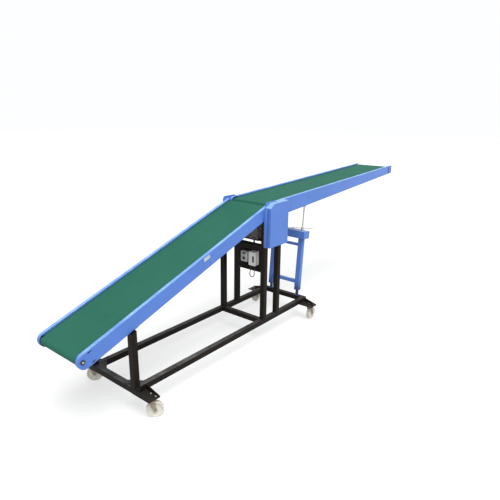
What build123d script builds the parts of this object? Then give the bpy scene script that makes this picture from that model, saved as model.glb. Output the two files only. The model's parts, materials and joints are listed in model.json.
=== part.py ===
from build123d import *
import math
import os

# Truck loading conveyor: a wheeled square-tube base carries a sloping belt, and a tapered
# boom with a belt of its own is hinged at the top and set by a pair of screw jacks.
# Millimetres. x runs up the conveyor from the front face of the base, y = 0 is the middle,
# z = 0 is the floor. The last step moves x so that the origin is under the middle.

os.makedirs("parts", exist_ok=True)

# Base frame of square tube
TUBE = 60.0
TUBE_WALL = 3.0
RAIL_TOP = 263.0
BASE_WIDTH = 704.0
BASE_LENGTH = 2932.0
MID_CROSS_LEAD = 23.0
REAR_POST_X = (1944.0, 2215.0)
CAP_THICKNESS = 3.0

# Castors and the trays that hold them outside the base
CASTOR_OUTSIDE = 122.0
CASTOR_FRONT_X = 67.0
CASTOR_FROM_REAR = 107.0
TRAY_WIDTH = 130.0
TRAY_OUTSIDE = 190.0
TRAY_UNDER = 52.0
TRAY_SHEET = 6.0
TRAY_FOLD = 48.0
GUSSET_TIP = 8.0
WHEEL_DIA = 160.0
WHEEL_WIDTH = 48.0
WHEEL_EDGE = 6.0
CASTOR_TRAIL = 42.0
CASTOR_PLATE = 104.0
CASTOR_PLATE_T = 7.0
CASTOR_PLATE_CORNER = 8.0
RACE_DIA = 66.0
RACE_T = 10.0
KINGPIN_DIA = 18.0
KINGPIN_NUT = 6.0
CROWN_T = 8.0
FORK_SHEET = 4.0
FORK_ROOT = 56.0
FORK_GAP = 5.0
AXLE_DIA = 14.0
AXLE_PROUD = 10.0
HUB_GAP = 1.0
SWIVEL_PLAY = 0.3
RUNNING_FIT = 0.06

# Belts, drums and rollers
BELT = 4.0
BELT_BELOW_TOP = 18.5
BELT_SIDE_GAP = 8.0
INCLINE_RETURN_GAP = 31.0
BOOM_RETURN_GAP = 25.0
DRUM_FIT = 0.2
DRUM_OVERLAP = 2.0
SHAFT_DIA = 30.0
SHAFT_PROUD = 6.0
BEARING_T = 16.0
BEARING_SIZE = 70.0
TAIL_BEARING_SIZE = 60.0
HEAD_BEARING_SIZE = 50.0
ROLLER_DIA = 40.0
ROLLER_SPINDLE = 14.0
BED = 2.5
BED_GAP = 20.0
TIE = 30.0
TIE_WALL = 2.5
TIE_COUNT = 5

# Sloping lower conveyor
INCLINE_ANGLE = 19.21
INCLINE_TOP_ABOVE_BASE = 698.0
INCLINE_DEPTH = 143.0
POST_TO_SIDE = 30.0
TAIL_X = -461.0
TAIL_DRUM_DIA = 76.0
TAIL_END = 47.0
KNEE_DRUM_DIA = 70.0
SIDE_SHEET = 4.0
SIDE_FLANGE = 38.0
INCLINE_ROLLERS = 3
INCLINE_ROLLER_MARGIN = 432.0
INCLINE_TIE_MARGIN = (300.0, 162.0)

# Boom, hinged on the shaft of its own lower drum
PIVOT_X = 2135.0
PIVOT_ABOVE_HEAD = -9.99
BOOM_ANGLE = 2.71
BOOM_LENGTH = 3499.0
BOOM_DEPTH_KNEE = 194.0
BOOM_DEPTH_TIP = 125.0
BOOM_SIDE_GAP = 6.0
TIP_DRUM_DIA = 60.0
TIP_BRACKET = 112.0
PIVOT_DIA = 35.0
BELT_TO_BELT = 12.0
KNEE_END_GAP = 6.5
JACK_BEAM = 50.0
JACK_BEAM_WALL = 3.0
BOOM_ROLLERS = 3
ROLLER_BEFORE_JACK = 230.0
ROLLER_AFTER_JACK = 530.0
BOOM_ROLLER_MARGIN = 547.0
BOOM_TIE_MARGIN = (300.0, 247.0)

# Plates, drive and control gear at the knee
KNEE_PLATE = 8.0
KNEE_PLATE_RISE = 16.0
KNEE_PLATE_X = (1968.0, 2290.0)
KNEE_CORNER = (20.0, 36.0)
POST_CLEARANCE = 12.0
COVER_X = (1962.0, 2326.0)
COVER_DEPTH = 81.0
COVER_ABOVE_BEAM = 50.0
COVER_SHEET = 2.0
COVER_NOTCH = 1.0
COVER_RISE = 4.0
COVER_PEAK = (45.0, 22.0)
BEAM_BELOW_POSTS = 332.0
REAR_BEAM_RISE = 27.0
MOTOR_PLATE = 8.0
MOTOR_PLATE_HALF = 190.0
MOTOR_PLATE_LENGTH = 245.0
GEARBOX = (150.0, 120.0, 170.0)
GEARBOX_ROUND = 22.0
GEARBOX_Y = -165.0
MOTOR_DIA = 150.0
MOTOR_LENGTH = 230.0
MOTOR_AXIS_RISE = 90.0
MOTOR_LEAD = 165.0
TERMINAL_BOX = (80.0, 90.0, 25.0)
TERMINAL_BOX_START = 60.0
DRIVE_SHAFT_PROUD = 30.0
PANEL_BELOW_BEAM = 33.0
PANEL_HEIGHT = 378.0
PANEL_SHORT = 142.0
PANEL_TAB = (12.0, 32.0)
PANEL_SHEET = 6.0
BOX_CORNER = 10.0
CABLE_DIA = 10.0
GLAND_LENGTH = 22.0
GLAND_Y = (-24.0, 30.0)

# Leaning jack frame on the rear cross tube
JACK_INSIDE = 132.0
JACK_FROM_REAR = 37.0
JACK_LEAN_X = 95.0
LEG = 64.0
LEG_FOOT = 30.0
LEG_START = 86.0
FOOT_PLATE = (48.0, 76.0, 8.0)
FOOT_HEAD = 6.0
JACK_BELOW_EYE = 357.0
JACK_BEAM_HEIGHT = 100.0
JACK_BEAM_WIDTH = 130.0
JACK_BEAM_OVERHANG = 77.0
JACK_BEAM_SHEET = 4.0
LOWER_TIE = (174.0, 45.0)
UPPER_TIE = (215.0, 35.0)
SCREW_DIA = 20.0
SCREW_LENGTH = 640.0
SCREW_PLAY = 0.5
SCREW_HOLE_GAP = 2.0
EYE_PIN_DIA = 20.0
EYE_PIN_PROUD = 4.0
EYE_DROP = 28.0
EYE_BELOW = 6.0
EYE_T = 18.0
EYE_CORNER = 12.0
EYE_WELD = 4.0
LUG_T = 8.0
LUG_GAP = 2.0
SLOT_PLAY = 1.5
SLOT_DRIFT = 22.0
HANDLE_LENGTH = 310.0
HANDLE_DIA = 15.0
HANDLE_RISE = 37.0
HANDLE_TURN = -53.0

# Values worked out from the ones above
BASE_HALF = BASE_WIDTH / 2
RAIL_Y = BASE_HALF - TUBE / 2
POST_INNER = BASE_HALF - TUBE
TUBE_BOTTOM = RAIL_TOP - TUBE
MID_CROSS_X = REAR_POST_X[0] - MID_CROSS_LEAD
CASTOR_Y = BASE_HALF + CASTOR_OUTSIDE
CASTOR_REAR_X = BASE_LENGTH - CASTOR_FROM_REAR
TRAY_END_Y = BASE_HALF + TRAY_OUTSIDE
TRAY_START_Y = BASE_HALF - TRAY_UNDER
TRAY_BOTTOM = TUBE_BOTTOM - TRAY_SHEET
WHEEL_R = WHEEL_DIA / 2
INCLINE_HALF_WIDTH = BASE_HALF - POST_TO_SIDE
IN_C = math.cos(math.radians(INCLINE_ANGLE))
IN_S = math.sin(math.radians(INCLINE_ANGLE))
BO_C = math.cos(math.radians(BOOM_ANGLE))
BO_S = math.sin(math.radians(BOOM_ANGLE))
TAIL_R = INCLINE_DEPTH / 2
TAIL_Z = RAIL_TOP + INCLINE_TOP_ABOVE_BASE + TAIL_X * IN_S / IN_C - TAIL_R / IN_C
TAIL_ROUND = TAIL_R - TAIL_END
KNEE_R = KNEE_DRUM_DIA / 2
IN_BED_TOP = TAIL_R - BELT_BELOW_TOP - BELT
TAIL_N = IN_BED_TOP - TAIL_DRUM_DIA / 2
HEAD_N = IN_BED_TOP - KNEE_R
PIVOT_N = HEAD_N + PIVOT_ABOVE_HEAD
PIVOT_Z = TAIL_Z + (PIVOT_N + (PIVOT_X - TAIL_X) * IN_S) / IN_C
PIVOT_S = (PIVOT_X - TAIL_X) * IN_C + (PIVOT_Z - TAIL_Z) * IN_S
PIVOT_BELOW_TOP = BELT_BELOW_TOP + BELT + KNEE_R
BOOM_TOP = PIVOT_Z + PIVOT_BELOW_TOP / BO_C
BOOM_HALF_WIDTH = INCLINE_HALF_WIDTH - BOOM_SIDE_GAP
BELT_HALF = BOOM_HALF_WIDTH - SIDE_FLANGE - BELT_SIDE_GAP
DRUM_HALF = BELT_HALF + DRUM_OVERLAP
DRUM_SPACING = KNEE_DRUM_DIA + 2 * BELT + BELT_TO_BELT
HEAD_S = PIVOT_S - math.sqrt(DRUM_SPACING ** 2 - PIVOT_ABOVE_HEAD ** 2)
INCLINE_END = PIVOT_S - PIVOT_BELOW_TOP - KNEE_END_GAP
TIP_R = TIP_DRUM_DIA / 2
TIP_N = PIVOT_BELOW_TOP - BELT_BELOW_TOP - BELT - TIP_R
TIP_S = BOOM_LENGTH - BELT_BELOW_TOP - BELT - TIP_R
TIP_X = PIVOT_X + BOOM_LENGTH * BO_C - (PIVOT_BELOW_TOP - BOOM_DEPTH_TIP) * BO_S
X_MIDDLE = (TAIL_X + TAIL_ROUND * IN_C - TAIL_R + TIP_X) / 2
POST2_TOP = BOOM_TOP - BOOM_DEPTH_KNEE - 3 * POST_CLEARANCE
BEAM_Z = (POST2_TOP - BEAM_BELOW_POSTS, POST2_TOP - BEAM_BELOW_POSTS + REAR_BEAM_RISE)
JACK_Y = BASE_HALF - JACK_INSIDE
JACK_FOOT_X = BASE_LENGTH - JACK_FROM_REAR
JACK_EYE_X = JACK_FOOT_X + JACK_LEAN_X
EYE_N = PIVOT_BELOW_TOP - BOOM_DEPTH_KNEE - EYE_BELOW
EYE_S = (JACK_EYE_X - PIVOT_X + EYE_N * BO_S) / BO_C
EYE_Z = PIVOT_Z + EYE_S * BO_S + EYE_N * BO_C
EYE_L = math.hypot(JACK_LEAN_X, EYE_Z - RAIL_TOP)
LEAN = math.degrees(math.atan2(JACK_LEAN_X, EYE_Z - RAIL_TOP))
JACK_TOP = EYE_L - JACK_BELOW_EYE


def block(x, y, z):
    # Box between two limits along each axis.
    size = Box(x[1] - x[0], y[1] - y[0], z[1] - z[0])
    return Pos((x[0] + x[1]) / 2, (y[0] + y[1]) / 2, (z[0] + z[1]) / 2) * size


def tube(x, y, z, along, wall=TUBE_WALL):
    # Square tube, open at both ends along one axis.
    limits = [x, y, z]
    inner = [(a + wall, b - wall) for a, b in limits]
    inner[along] = (limits[along][0] - 1, limits[along][1] + 1)
    return block(x, y, z) - block(*inner)


def slab(face, plane, y):
    # Extrude a sketch, drawn in the x-z plane of a sloping frame, between two y limits.
    placed = plane * Pos(0, 0, -y[1]) * face
    return extrude(placed, y[1] - y[0])


def both_sides(solid):
    return [solid, mirror(solid, about=Plane.XZ)]


def spaced(first, last, count):
    # Evenly spaced places, both ends included.
    return [first + (last - first) * i / (count - 1) for i in range(count)]


def sloping_frame(x, z, angle):
    # Frame whose first axis runs up the slope and whose second is square to it.
    a = math.radians(angle)
    return Plane(origin=(x, 0, z), x_dir=(math.cos(a), 0, math.sin(a)), z_dir=(0, -1, 0))


def save(name, *solids):
    moved = [Pos(-X_MIDDLE, 0, 0) * s for s in solids]
    whole = moved[0] if len(moved) == 1 else Compound(children=moved)
    export_step(whole, "parts/" + name + ".step")


INCLINE = sloping_frame(TAIL_X, TAIL_Z, INCLINE_ANGLE)
BOOM = sloping_frame(PIVOT_X, PIVOT_Z, BOOM_ANGLE)
JACK = Plane(origin=(JACK_FOOT_X, 0, RAIL_TOP),
             x_dir=(math.cos(math.radians(LEAN)), 0, -math.sin(math.radians(LEAN))),
             z_dir=(math.sin(math.radians(LEAN)), 0, math.cos(math.radians(LEAN))))

# Base frame: two long rails between the front and rear cross tubes, and one in the middle
rail = tube((TUBE, BASE_LENGTH - TUBE), (POST_INNER, BASE_HALF), (TUBE_BOTTOM, RAIL_TOP), 0)
save("base_rails", *both_sides(rail))

CAP_Y = BASE_HALF - CAP_THICKNESS
cross_tables = [
    # x of the front face, half length
    (0.0, CAP_Y),
    (MID_CROSS_X, POST_INNER),
    (BASE_LENGTH - TUBE, CAP_Y),
]
crosses = [tube((x, x + TUBE), (-half, half), (TUBE_BOTTOM, RAIL_TOP), 1) for x, half in cross_tables]
save("base_cross_tubes", *crosses)

caps = []
for x in (0.0, BASE_LENGTH - TUBE):
    caps += both_sides(block((x, x + TUBE), (CAP_Y, BASE_HALF), (TUBE_BOTTOM, RAIL_TOP)))
save("tube_end_caps", *caps)

# Posts: cut to the slope under the lower conveyor, square under the knee plates
slope_cut = Pos(0, BASE_LENGTH / 2) * Rectangle(3 * BASE_LENGTH, BASE_LENGTH)
above_slope = slab(slope_cut, INCLINE * Pos(0, -TAIL_R, 0), (-BASE_WIDTH, BASE_WIDTH))


def post(x, top):
    return tube((x, x + TUBE), (POST_INNER, BASE_HALF), (RAIL_TOP, top), 2)


front_post = post(0.0, RAIL_TOP + INCLINE_TOP_ABOVE_BASE) - above_slope
save("front_posts", *both_sides(front_post))
post_1 = post(REAR_POST_X[0], POST2_TOP + 2 * TUBE) - above_slope
post_2 = post(REAR_POST_X[1], POST2_TOP)
save("rear_posts", *both_sides(post_1), *both_sides(post_2))

# Castor trays: plates under the rails with a gusset, and a fold along the front of the base
UPRIGHT = Plane(origin=(0, 0, 0), x_dir=(1, 0, 0), z_dir=(0, -1, 0))
castors = [
    # name, x, side, direction the wheel trails in degrees, height of the front fold
    ("near_front", CASTOR_FRONT_X, -1, -40.0, TRAY_FOLD),
    ("far_front", CASTOR_FRONT_X, 1, -40.0, TRAY_FOLD),
    ("near_rear", CASTOR_REAR_X, -1, 0.0, TRAY_SHEET),
    ("far_rear", CASTOR_REAR_X, 1, 3.0, TRAY_SHEET),
]
trays = []
plates = []
for name, x, side, trail, fold in castors:
    x_tray = (x - TRAY_WIDTH / 2, x + TRAY_WIDTH / 2)
    tray = block(x_tray, (TRAY_START_Y, TRAY_END_Y), (TRAY_BOTTOM, TUBE_BOTTOM))
    x_fold = (x_tray[0], x_tray[0] + TRAY_SHEET)
    tray += block(x_fold, (BASE_HALF, TRAY_END_Y), (TRAY_BOTTOM, TUBE_BOTTOM + fold))
    gusset = make_face(Polyline(
        (BASE_HALF, TUBE_BOTTOM),
        (TRAY_END_Y, TUBE_BOTTOM),
        (TRAY_END_Y, TUBE_BOTTOM + GUSSET_TIP),
        (BASE_HALF, RAIL_TOP),
        close=True,
    ))
    across = Plane(origin=(x_tray[1] - TRAY_SHEET, 0, 0), x_dir=(0, 1, 0), z_dir=(1, 0, 0))
    tray += extrude(across * gusset, TRAY_SHEET)
    trays.append(tray if side > 0 else mirror(tray, about=Plane.XZ))
    plate_bottom = TRAY_BOTTOM - CASTOR_PLATE_T
    race_bottom = plate_bottom - RACE_T
    crown_bottom = race_bottom - SWIVEL_PLAY - CROWN_T
    centre = Pos(x, side * CASTOR_Y, 0)
    plate = extrude(RectangleRounded(CASTOR_PLATE, CASTOR_PLATE, CASTOR_PLATE_CORNER), CASTOR_PLATE_T)
    plate = Pos(0, 0, plate_bottom) * plate
    plate += Pos(0, 0, race_bottom) * extrude(Circle(RACE_DIA / 2), RACE_T)
    pin_length = plate_bottom - crown_bottom + SWIVEL_PLAY
    plate += Pos(0, 0, crown_bottom - SWIVEL_PLAY) * extrude(Circle(KINGPIN_DIA / 2), pin_length)
    nut = extrude(RegularPolygon(KINGPIN_DIA * 0.8, 6), KINGPIN_NUT)
    plate += Pos(0, 0, crown_bottom - SWIVEL_PLAY - KINGPIN_NUT) * nut
    plates.append(centre * plate)

    # Fork: crown plate, two tapered legs and the axle bolt through them
    leg_y = WHEEL_WIDTH / 2 + FORK_GAP
    crown = extrude(Circle(RACE_DIA / 2), CROWN_T)
    crown += extrude(Pos(CASTOR_TRAIL / 4, 0) * Rectangle(FORK_ROOT, 2 * (leg_y + FORK_SHEET)), CROWN_T)
    fork = Pos(0, 0, crown_bottom) * crown
    fork -= Pos(0, 0, crown_bottom - 1) * extrude(Circle(KINGPIN_DIA / 2 + RUNNING_FIT), CROWN_T + 2)
    boss_r = AXLE_DIA * 1.2
    top = crown_bottom + CROWN_T
    leg_face = make_face(Polyline(
        (CASTOR_TRAIL / 4 - FORK_ROOT / 2, top),
        (CASTOR_TRAIL / 4 + FORK_ROOT / 2, top),
        (CASTOR_TRAIL + boss_r, WHEEL_R),
        (CASTOR_TRAIL - boss_r, WHEEL_R),
        close=True,
    ))
    leg_face += Pos(CASTOR_TRAIL, WHEEL_R) * Circle(boss_r)
    fork_leg = slab(leg_face, UPRIGHT, (leg_y, leg_y + FORK_SHEET))
    fork += fork_leg
    fork += mirror(fork_leg, about=Plane.XZ)
    bolt_half = leg_y + AXLE_PROUD
    fork += slab(Pos(CASTOR_TRAIL, WHEEL_R) * Circle(AXLE_DIA / 2), UPRIGHT, (-bolt_half, bolt_half))
    turned = centre * Rot(0, 0, trail)
    save("castor_fork_" + name, turned * fork)

    # Moulded wheel: bevelled tread, nearly flat web and a hub on the axle bolt
    hub = leg_y - HUB_GAP
    half = WHEEL_WIDTH / 2
    web = half * 0.8
    profile = make_face(Polyline(
        (AXLE_DIA / 2 + RUNNING_FIT, -hub),
        (AXLE_DIA * 1.1, -hub),
        (AXLE_DIA * 1.3, -web),
        (WHEEL_R * 0.72, -web),
        (WHEEL_R * 0.76, -half),
        (WHEEL_R - WHEEL_EDGE, -half),
        (WHEEL_R, -half * 0.55),
        (WHEEL_R, half * 0.55),
        (WHEEL_R - WHEEL_EDGE, half),
        (WHEEL_R * 0.76, half),
        (WHEEL_R * 0.72, web),
        (AXLE_DIA * 1.3, web),
        (AXLE_DIA * 1.1, hub),
        (AXLE_DIA / 2 + RUNNING_FIT, hub),
        close=True,
    ))
    wheel = revolve(profile, Axis.Y)
    save("castor_wheel_" + name, turned * Pos(CASTOR_TRAIL, 0, WHEEL_R) * wheel)
save("castor_trays", *trays)
save("castor_plates", *plates)


def arc_points(centre, r, start, end):
    # Three points of an arc, angles in degrees.
    angles = [math.radians(a) for a in (start, (start + end) / 2, end)]
    return [(centre[0] + r * math.cos(a), centre[1] + r * math.sin(a)) for a in angles]


def belt_outline(low, low_r, high, high_r, rollers, roller_r):
    # Closed path over two drums, with the return run held up by the outer rollers.
    first, last = rollers[0], rollers[-1]
    dx, dz = first[0] - low[0], first[1] - low[1]
    span = math.hypot(dx, dz)
    low_angle = math.degrees(math.atan2(dz, dx)) - math.degrees(math.acos((low_r + roller_r) / span))
    dx, dz = last[0] - high[0], last[1] - high[1]
    span = math.hypot(dx, dz)
    high_angle = math.degrees(math.atan2(dz, dx)) + math.degrees(math.acos((high_r + roller_r) / span))
    arc_high = arc_points(high, high_r, 90, high_angle - 360 if high_angle > 90 else high_angle)
    arc_last = arc_points(last, roller_r, (high_angle + 180) % 360, 90)
    arc_first = arc_points(first, roller_r, 90, (low_angle + 180) % 360)
    arc_low = arc_points(low, low_r, low_angle % 360, 90)
    edges = [
        Line(arc_low[2], arc_high[0]),
        ThreePointArc(*arc_high),
        Line(arc_high[2], arc_last[0]),
        ThreePointArc(*arc_last),
        Line(arc_last[2], arc_first[0]),
        ThreePointArc(*arc_first),
        Line(arc_first[2], arc_low[0]),
        ThreePointArc(*arc_low),
    ]
    return make_face(edges)


def belt_loop(frame, low, low_r, high, high_r, rollers, half_width):
    # Belt of even thickness: the inner path rides on the drums, the outer one on the rollers.
    roller_r = ROLLER_DIA / 2 + DRUM_FIT
    outer = belt_outline(low, low_r + DRUM_FIT + BELT, high, high_r + DRUM_FIT + BELT, rollers, roller_r)
    inner = belt_outline(low, low_r + DRUM_FIT, high, high_r + DRUM_FIT, rollers, roller_r + BELT)
    return slab(outer - inner, frame, (-half_width, half_width))


def drum(frame, place, dia, half_face, shaft_dia, shaft_half):
    shape = slab(Pos(*place) * Circle(dia / 2), frame, (-half_face, half_face))
    return shape + slab(Pos(*place) * Circle(shaft_dia / 2), frame, (-shaft_half, shaft_half))


def bearing(frame, place, size, bore, y):
    # Square flanged bearing housing with rounded corners.
    shape = RectangleRounded(size, size, size / 5) - Circle(bore / 2 + RUNNING_FIT)
    return slab(Pos(*place) * shape, frame, y)


def roller(frame, place, half_face, half_spindle):
    shape = slab(Pos(*place) * Circle(ROLLER_DIA / 2), frame, (-half_face, half_face))
    return shape + slab(Pos(*place) * Circle(ROLLER_SPINDLE / 2), frame, (-half_spindle, half_spindle))


# Lower conveyor: folded side rails with a round tail
IN_OUT = INCLINE_HALF_WIDTH
IN_WEB = IN_OUT - SIDE_SHEET
IN_LIP = IN_OUT - SIDE_FLANGE
TAIL = (0, TAIL_N)
HEAD = (HEAD_S, HEAD_N)


def incline_outline(r, length):
    # Straight rail that starts with a half circle.
    straight = Pos((TAIL_ROUND + length) / 2, 0) * Rectangle(length - TAIL_ROUND, 2 * r)
    return Pos(TAIL_ROUND, 0) * Circle(r) + straight


room = incline_outline(TAIL_R - SIDE_SHEET, INCLINE_END + SIDE_SHEET)
incline_side = slab(incline_outline(TAIL_R, INCLINE_END), INCLINE, (IN_LIP, IN_OUT))
incline_side -= slab(room, INCLINE, (IN_LIP - 1, IN_WEB))
tail_bore = Pos(*TAIL) * Circle(SHAFT_DIA / 2 + RUNNING_FIT)
incline_side -= slab(tail_bore, INCLINE, (IN_WEB - 1, IN_OUT + 1))
head_bore = Pos(*HEAD) * Circle(SHAFT_DIA / 2 + RUNNING_FIT)
incline_side -= slab(head_bore, INCLINE, (IN_WEB - 1, IN_OUT + 1))
far, near = both_sides(incline_side)
save("incline_side_far", far)
save("incline_side_near", near)

IN_ROLLER_N = IN_BED_TOP - BED - TIE - INCLINE_RETURN_GAP - BELT - ROLLER_DIA / 2
roller_s = spaced(INCLINE_ROLLER_MARGIN, HEAD_S - INCLINE_ROLLER_MARGIN, INCLINE_ROLLERS)
incline_rollers = [(s, IN_ROLLER_N) for s in roller_s]
save("incline_belt", belt_loop(INCLINE, TAIL, TAIL_DRUM_DIA / 2, HEAD, KNEE_R, incline_rollers, BELT_HALF))


def bed_and_ties(frame, top, bed, ties, half_width):
    # Slider sheet under the belt, and square tubes across below it.
    bed_face = Pos((bed[0] + bed[1]) / 2, top - BED / 2) * Rectangle(bed[1] - bed[0], BED)
    tie_face = Rectangle(TIE, TIE) - Rectangle(TIE - 2 * TIE_WALL, TIE - 2 * TIE_WALL)
    tubes = []
    for s in ties:
        tubes.append(slab(Pos(s, top - BED - TIE / 2) * tie_face, frame, (-half_width, half_width)))
    return slab(bed_face, frame, (-half_width, half_width)), tubes


bed_s = (TAIL_DRUM_DIA / 2 + BED_GAP, HEAD_S - KNEE_R - BED_GAP)
tie_s = spaced(INCLINE_TIE_MARGIN[0], HEAD_S - INCLINE_TIE_MARGIN[1], TIE_COUNT)
bed, ties = bed_and_ties(INCLINE, IN_BED_TOP, bed_s, tie_s, IN_WEB)
save("incline_bed", bed)
save("incline_ties", *ties)
SHAFT_END = IN_OUT + SHAFT_PROUD
save("incline_tail_drum", drum(INCLINE, TAIL, TAIL_DRUM_DIA, DRUM_HALF, SHAFT_DIA, SHAFT_END))
save("incline_head_drum", drum(INCLINE, HEAD, KNEE_DRUM_DIA, DRUM_HALF, SHAFT_DIA, SHAFT_END))
save("incline_return_rollers", *[roller(INCLINE, p, DRUM_HALF, IN_WEB) for p in incline_rollers])
blocks = []
for place, size in ((TAIL, TAIL_BEARING_SIZE), (HEAD, HEAD_BEARING_SIZE)):
    blocks += both_sides(bearing(INCLINE, place, size, SHAFT_DIA, (IN_WEB - BEARING_T, IN_WEB)))
save("incline_bearings", *blocks)

# Angle cleats that hold the front posts to the side rails
def rail_top(x):
    return RAIL_TOP + INCLINE_TOP_ABOVE_BASE + x * IN_S / IN_C


def rail_under(x):
    return rail_top(x) - INCLINE_DEPTH / IN_C


CLEAT = 46.0
CLEAT_T = 5.0
cleat_face = make_face(Polyline(
    (TUBE, rail_under(TUBE)),
    (TUBE + CLEAT, rail_under(TUBE + CLEAT)),
    (TUBE + CLEAT, rail_under(TUBE + CLEAT) - CLEAT_T),
    (TUBE + CLEAT_T, rail_under(TUBE + CLEAT_T) - CLEAT_T),
    (TUBE + CLEAT_T, rail_under(TUBE) - CLEAT),
    (TUBE, rail_under(TUBE) - CLEAT),
    close=True,
))
save("post_cleats", *both_sides(slab(cleat_face, UPRIGHT, (POST_INNER, IN_OUT))))

# Boom: tapered side rails that turn about the shaft of the lower drum
BO_OUT = BOOM_HALF_WIDTH
BO_WEB = BO_OUT - SIDE_SHEET
BO_LIP = BO_OUT - SIDE_FLANGE


def boom_outline(r, knee_bottom, tip_bottom, length):
    # Round about the pivot, then tangent to the lower corner under it.
    turn = math.radians(270) - math.acos(r / -knee_bottom)
    shape = make_face(Polyline(
        (0, r), (length, r), (length, tip_bottom), (0, knee_bottom),
        (r * math.cos(turn), r * math.sin(turn)), close=True,
    ))
    return shape + Circle(r)


KNEE_BOTTOM = PIVOT_BELOW_TOP - BOOM_DEPTH_KNEE
TIP_BOTTOM = PIVOT_BELOW_TOP - BOOM_DEPTH_TIP
boom_full = boom_outline(PIVOT_BELOW_TOP, KNEE_BOTTOM, TIP_BOTTOM, BOOM_LENGTH)
boom_room = boom_outline(PIVOT_BELOW_TOP - SIDE_SHEET, KNEE_BOTTOM + SIDE_SHEET, TIP_BOTTOM + SIDE_SHEET,
                         BOOM_LENGTH + SIDE_SHEET)
boom_side = slab(boom_full, BOOM, (BO_LIP, BO_OUT)) - slab(boom_room, BOOM, (BO_LIP - 1, BO_WEB))
boom_side -= slab(Circle(PIVOT_DIA / 2 + RUNNING_FIT), BOOM, (BO_WEB - 1, BO_OUT + 1))
tip_bore = Pos(TIP_S, TIP_N) * Circle(SHAFT_DIA / 2 + RUNNING_FIT)
boom_side -= slab(tip_bore, BOOM, (BO_WEB - 1, BO_OUT + 1))
far, near = both_sides(boom_side)
save("boom_side_far", far)
save("boom_side_near", near)
BO_BED_TOP = PIVOT_BELOW_TOP - BELT_BELOW_TOP - BELT
BO_ROLLER_N = BO_BED_TOP - BED - TIE - BOOM_RETURN_GAP - BELT - ROLLER_DIA / 2
roller_s = [EYE_S - ROLLER_BEFORE_JACK]
roller_s += spaced(EYE_S + ROLLER_AFTER_JACK, TIP_S - BOOM_ROLLER_MARGIN, BOOM_ROLLERS)
boom_rollers = [(s, BO_ROLLER_N) for s in roller_s]
save("boom_belt", belt_loop(BOOM, (0, 0), KNEE_R, (TIP_S, TIP_N), TIP_R, boom_rollers, BELT_HALF))
bed_s = (KNEE_R + BED_GAP, TIP_S - TIP_R - BED_GAP)
tie_s = spaced(BOOM_TIE_MARGIN[0], TIP_S - BOOM_TIE_MARGIN[1], TIE_COUNT)
bed, ties = bed_and_ties(BOOM, BO_BED_TOP, bed_s, tie_s, BO_WEB)
save("boom_bed", bed)
save("boom_ties", *ties)
PIVOT_END = IN_OUT + KNEE_PLATE + BEARING_T + SHAFT_PROUD
save("boom_pivot_drum", drum(BOOM, (0, 0), KNEE_DRUM_DIA, DRUM_HALF, PIVOT_DIA, PIVOT_END))
tip_end = BO_OUT + SIDE_SHEET + EYE_PIN_PROUD
save("boom_tip_drum", drum(BOOM, (TIP_S, TIP_N), TIP_DRUM_DIA, DRUM_HALF, SHAFT_DIA, tip_end))
save("boom_return_rollers", *[roller(BOOM, p, DRUM_HALF, BO_WEB) for p in boom_rollers])
tip_face = Pos(BOOM_LENGTH - TIP_BRACKET / 2, PIVOT_BELOW_TOP - BOOM_DEPTH_TIP / 2)
tip_face *= Rectangle(TIP_BRACKET, BOOM_DEPTH_TIP)
tip_face -= Pos(TIP_S, TIP_N) * Circle(SHAFT_DIA / 2 + RUNNING_FIT)
save("boom_tip_brackets", *both_sides(slab(tip_face, BOOM, (BO_OUT, BO_OUT + SIDE_SHEET))))

# Jack beam across the boom with a pair of lugs and a pin over each jack
beam_n = EYE_N + EYE_DROP + JACK_BEAM / 2
beam_room = JACK_BEAM - 2 * JACK_BEAM_WALL
beam_face = Pos(EYE_S, beam_n) * (Rectangle(JACK_BEAM, JACK_BEAM) - Rectangle(beam_room, beam_room))
save("boom_jack_beam", slab(beam_face, BOOM, (-BO_WEB, BO_WEB)))
lug_face = Pos(EYE_S, EYE_N) * Circle(EYE_PIN_DIA) + Pos(EYE_S, EYE_N + EYE_DROP / 2) * Rectangle(
    2 * EYE_PIN_DIA, EYE_DROP)
lugs = []
for y in (-JACK_Y, JACK_Y):
    inner = EYE_T / 2 + LUG_GAP
    outer = inner + LUG_T
    one = slab(lug_face, BOOM, (y + inner, y + outer))
    one += slab(lug_face, BOOM, (y - outer, y - inner))
    pin_y = (y - outer - EYE_PIN_PROUD, y + outer + EYE_PIN_PROUD)
    one += slab(Pos(EYE_S, EYE_N) * Circle(EYE_PIN_DIA / 2), BOOM, pin_y)
    lugs.append(one)
save("boom_jack_lugs", *lugs)

# Jack screws: threaded rods with a slotted eye on the pin
eye_plane = JACK * UPRIGHT
EYE_HALF = EYE_PIN_DIA / 2 + SLOT_PLAY
EYE_TOP = 20.0
EYE_BOTTOM = 36.0
eye_face = Pos(-SLOT_DRIFT / 2, EYE_L + (EYE_TOP - EYE_BOTTOM) / 2) * RectangleRounded(
    SLOT_DRIFT + 4 * EYE_HALF, EYE_TOP + EYE_BOTTOM, EYE_CORNER)
eye_face -= Pos(-SLOT_DRIFT / 2, EYE_L) * SlotOverall(SLOT_DRIFT + 2 * EYE_HALF, 2 * EYE_HALF)
screws = []
for y in (-JACK_Y, JACK_Y):
    eye = slab(eye_face, eye_plane, (y - EYE_T / 2, y + EYE_T / 2))
    rod_top = EYE_L - EYE_BOTTOM + EYE_WELD
    rod = JACK * Pos(0, y, rod_top - SCREW_LENGTH) * extrude(Circle(SCREW_DIA / 2), SCREW_LENGTH)
    screws.append(eye + rod)
save("jack_screws", *screws)

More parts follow.
